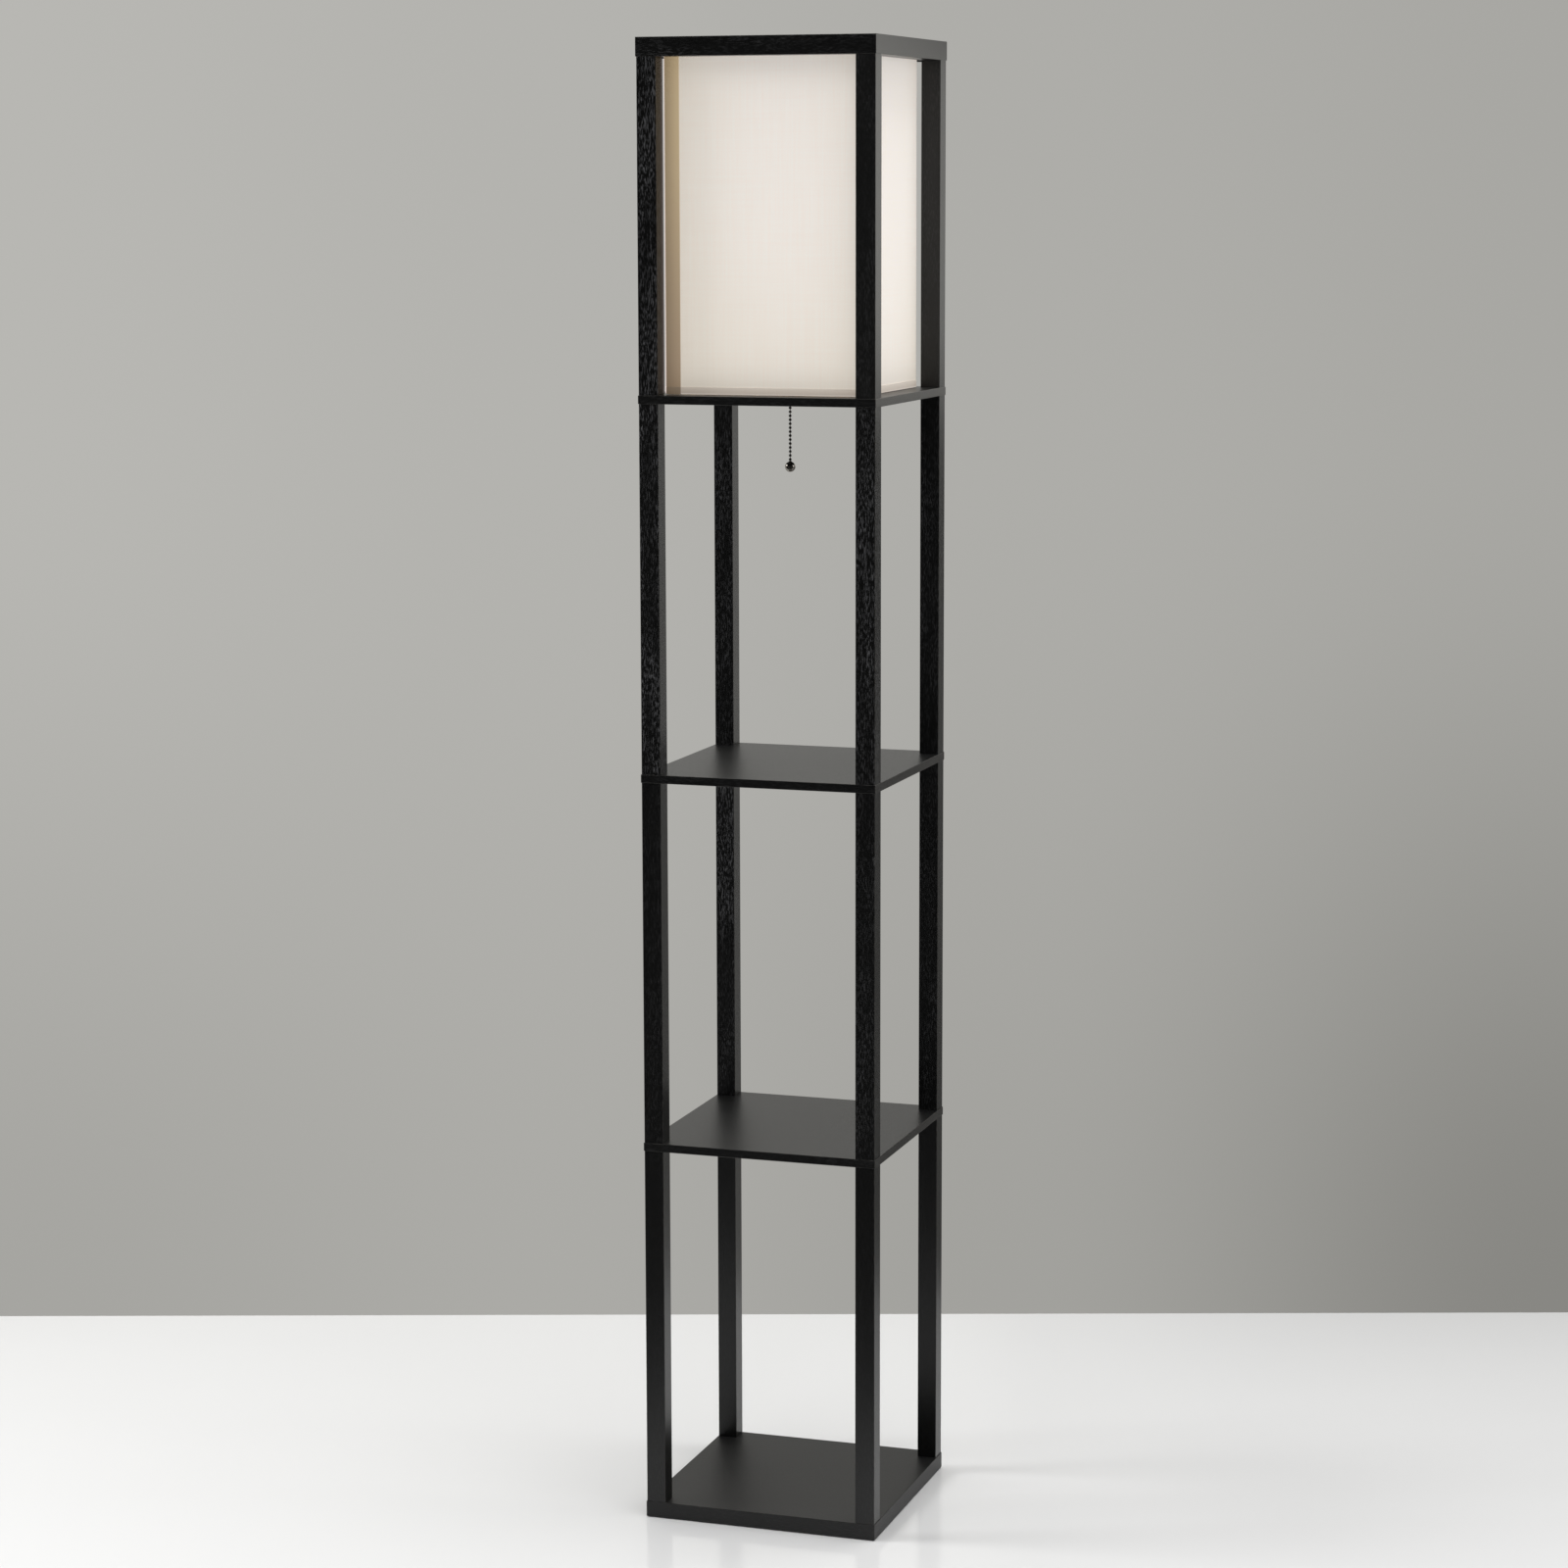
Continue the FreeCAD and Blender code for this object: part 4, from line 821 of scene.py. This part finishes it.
FINISHES = {
    # The shelves' right side faces carry a painted highlight, paler on the higher shelves.
    "base_board": veneer_of_board("base_board", 0.44),
    "lower_shelf": veneer_of_board("lower_shelf", 0.36, srgb(38, 37, 36)),
    "middle_shelf": veneer_of_board("middle_shelf", 0.36, srgb(42, 41, 40)),
    "lamp_shelf": veneer_of_board("lamp_shelf", 0.36, srgb(48, 47, 45)),
    "top_rail_front": rail_across, "top_rail_rear": rail_across,
    "top_rail_left": rail_deep, "top_rail_right": rail_deep,
    "base_bolts": zinc, "thread_inserts": insert_brass, "joining_studs": zinc, "mitre_dowels": beech,
    "threaded_nipple": zinc, "cord_bush": nylon, "nipple_washer": zinc, "nipple_nut": zinc,
    "holder_base_plate": brass, "holder_cup": brass, "holder_shell": brass, "insulating_sleeve": fibre,
    "switch_housing": phenolic, "pivot_pin": dull_steel, "terminal_screws": brass, "switch_lever": dull_steel,
    "switch_rotor": nylon, "lever_spring": dull_steel, "centre_contact": brass, "chain_eyelet": black_nickel,
}


def finish_cad_nodes():
    for name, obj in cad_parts.items():
        finish = FINISHES.get(name, POST_VENEERS.get(name))
        if finish is None:
            continue
        for place in obj.material_slots:
            place.material = finish


# ---- studio ----------------------------------------------------------------------------------
CAMERA = Vector((1.31603, -4.01467, 1.43822))
HEADING = math.radians(18.3175)
AHEAD = Vector((-math.sin(HEADING), math.cos(HEADING), 0))
RIGHT = Vector((math.cos(HEADING), math.sin(HEADING), 0))
WALL_FOOT = Vector((CAMERA.x, CAMERA.y, 0)) + AHEAD * 4.921
WALL_HALF, WALL_HIGH, FLOOR_HALF = 1.7, 2.9, 30
SEEN_HALF = 0.98                 # half the width of the wall that the picture shows


def make_camera():
    yaw, pitch, roll = HEADING, math.radians(-8.6454), math.radians(-0.1365)
    ahead = Vector((-math.sin(yaw) * math.cos(pitch), math.cos(yaw) * math.cos(pitch), math.sin(pitch)))
    up = RIGHT.cross(ahead)
    level = RIGHT * math.cos(roll) + up * math.sin(roll)
    upright = up * math.cos(roll) - RIGHT * math.sin(roll)
    data = bpy.data.cameras.new("camera")
    data.sensor_width = 36.0
    data.lens = 90.692
    data.clip_start, data.clip_end = 0.05, 60.0
    camera = bpy.data.objects.new("camera", data)
    turn = Matrix((level, upright, -ahead)).transposed().to_4x4()
    camera.matrix_world = Matrix.Translation(CAMERA) @ turn
    bpy.context.scene.collection.objects.link(camera)
    bpy.context.scene.camera = camera


def stage_sheet(name, corners, material):
    mesh = bpy.data.meshes.new(name)
    mesh.from_pydata(corners, [], [(0, 1, 2, 3)])
    mesh.materials.append(material)
    obj = bpy.data.objects.new(name, mesh)
    bpy.context.scene.collection.objects.link(obj)


def glossy_ray(tree):
    return tree.nodes.new("ShaderNodeLightPath").outputs["Is Glossy Ray"]


def make_floor():
    floor, tree, sockets = new_finish("pale floor", 0.12)
    haze = mottle(tree, place_of(tree), 1.3)
    paper = blended(tree, haze, srgb(240, 240, 240), srgb(236, 236, 236))
    x, y, _ = parts_of(tree, place_of(tree))
    # Painted shade seen only in reflections: mirrored rays find the floor dark grey far in front and to the
    # right.
    mirrored_floor_shade = maths(tree, "MAXIMUM", ranged(tree, y, -0.3, -0.8, 0.0, 0.95),
                     ranged(tree, x, 0.15, 0.6, 0.0, 0.6))
    darkened = maths(tree, "MULTIPLY", glossy_ray(tree), mirrored_floor_shade)
    feed(tree, blended(tree, darkened, paper, srgb(40, 40, 40)), sockets["Base Color"])
    far = FLOOR_HALF
    stage_sheet("floor", [(-far, -far, 0), (far, -far, 0), (far, far, 0), (-far, far, 0)], floor)


def wall_light_and_shade(tree, share, stops):
    """Painted light and shade across the wall: grey from stops of place and 8-bit level."""
    ramp = tree.nodes.new("ShaderNodeValToRGB")
    ramp.color_ramp.interpolation = "EASE"
    feed(tree, share, ramp.inputs[0])
    elements = ramp.color_ramp.elements
    while len(elements) < len(stops):
        elements.new(0.5)
    for element, (at, grey) in zip(elements, stops):
        element.position = at
        element.color = (*srgb(grey, grey - 0.9, grey - 5), 1.0)
    return ramp.outputs[0]


def mirrored_shine(tree, share, z):
    """What a mirrored ray finds beyond the wall's own strength: by height and by how far right."""
    usual = 0.35                 # left of the posts, and where the boards mirror it
    above = ranged(tree, z, 0.62, 0.78, -0.2, 0.6)
    bays = maths(tree, "MULTIPLY_ADD", ranged(tree, share, 0.68, 0.86),
                 ranged(tree, z, 0.62, 0.78, -0.4, -1.5), above)
    top = maths(tree, "MULTIPLY", ranged(tree, z, 1.56, 1.7, 0.0, -2.2), ranged(tree, share, 0.87, 0.79))
    lit = maths(tree, "MULTIPLY_ADD", ranged(tree, share, 0.815, 0.87), 2.3,
                maths(tree, "ADD", top, 0.45))
    lantern = ranged(tree, z, 1.1, 1.25)
    right_side = maths(tree, "MULTIPLY_ADD", maths(tree, "SUBTRACT", lit, bays), lantern, bays)
    shine = maths(tree, "MULTIPLY_ADD", ranged(tree, share, 0.6, 0.68),
                  maths(tree, "SUBTRACT", right_side, usual), usual)
    return maths(tree, "MAXIMUM", shine, -1.0)


def make_backdrop():
    wall = bpy.data.materials.new("grey backdrop")
    wall.use_nodes = True
    tree = wall.node_tree
    tree.nodes.clear()
    x, y, z = parts_of(tree, place_of(tree))
    across = maths(tree, "ADD", maths(tree, "MULTIPLY", x, RIGHT.x), maths(tree, "MULTIPLY", y, RIGHT.y))
    left = WALL_FOOT.dot(RIGHT) - SEEN_HALF
    share = maths(tree, "DIVIDE", maths(tree, "SUBTRACT", across, left), 2 * SEEN_HALF, clamp=True)
    # Painted light and shade on the backdrop: paler high up and on the left, darker low down and towards the
    # right.
    high = wall_light_and_shade(tree, share, [(0.0, 184), (0.35, 180), (0.65, 174), (1.0, 168)])
    low = wall_light_and_shade(tree, share, [(0.0, 166), (0.35, 171), (0.65, 162), (1.0, 136)])
    glow = tree.nodes.new("ShaderNodeEmission")
    feed(tree, blended(tree, ranged(tree, z, 0.0, 1.15), low, high), glow.inputs[0])
    strength = maths(tree, "MULTIPLY_ADD", glossy_ray(tree), mirrored_shine(tree, share, z), 1.0)
    feed(tree, strength, glow.inputs[1])
    clear = tree.nodes.new("ShaderNodeBsdfTransparent")
    sides = tree.nodes.new("ShaderNodeMixShader")
    feed(tree, tree.nodes.new("ShaderNodeNewGeometry").outputs["Backfacing"], sides.inputs[0])
    tree.links.new(glow.outputs[0], sides.inputs[1])
    tree.links.new(clear.outputs[0], sides.inputs[2])
    tree.links.new(sides.outputs[0], tree.nodes.new("ShaderNodeOutputMaterial").inputs[0])
    a, b = WALL_FOOT - RIGHT * WALL_HALF, WALL_FOOT + RIGHT * WALL_HALF
    rise = Vector((0, 0, WALL_HIGH))
    stage_sheet("backdrop", [a, b, b + rise, a + rise], wall)


def make_world():
    world = bpy.data.worlds.new("studio")
    bpy.context.scene.world = world
    world.use_nodes = True
    tree = world.node_tree
    tree.nodes.clear()
    path = tree.nodes.new("ShaderNodeLightPath")
    direction = parts_of(tree, tree.nodes.new("ShaderNodeTexCoord").outputs["Generated"])
    behind = ranged(tree, direction[1], -0.5, 0.6)
    shine = blended(tree, behind, srgb(50, 50, 50), srgb(190, 189, 185))
    soft = blended(tree, ranged(tree, direction[2], 0.0, 1.0), srgb(120, 120, 120), srgb(250, 250, 250))
    seen = maths(tree, "MAXIMUM", path.outputs["Is Camera Ray"], path.outputs["Is Transmission Ray"])
    colour = blended(tree, path.outputs["Is Glossy Ray"], soft, shine)
    colour = blended(tree, seen, colour, srgb(176, 175, 171))
    light = tree.nodes.new("ShaderNodeBackground")
    feed(tree, colour, light.inputs[0])
    tree.links.new(light.outputs[0], tree.nodes.new("ShaderNodeOutputWorld").inputs[0])


def soft_box(name, place, aim, width, height, watts):
    data = bpy.data.lights.new(name, "AREA")
    data.shape = "RECTANGLE"
    data.size, data.size_y = width, height
    data.energy = watts
    lamp = bpy.data.objects.new(name, data)
    lamp.location = place
    lamp.rotation_mode = "QUATERNION"
    lamp.rotation_quaternion = (Vector(aim) - Vector(place)).to_track_quat("-Z", "Y")
    bpy.context.scene.collection.objects.link(lamp)


def make_lamps():
    soft_box("key", (-3.1, -0.95, 2.6), (0, 0, 0.6), 1.1, 1.3, 49)
    soft_box("overhead", (0.2, 0.35, 3.9), (0.1, 0, 0.0), 2.4, 2.0, 73)
    soft_box("side", (3.2, 0.3, 1.9), (0, 0, 0.8), 0.9, 1.6, 14)


for make in (make_shade, make_rings, make_hooks, make_bulb, make_holder, make_chain, make_pull,
             make_pads, finish_cad_nodes, make_camera, make_floor, make_backdrop, make_world,
             make_lamps):
    make()
bpy.context.scene.view_settings.view_transform = "Standard"
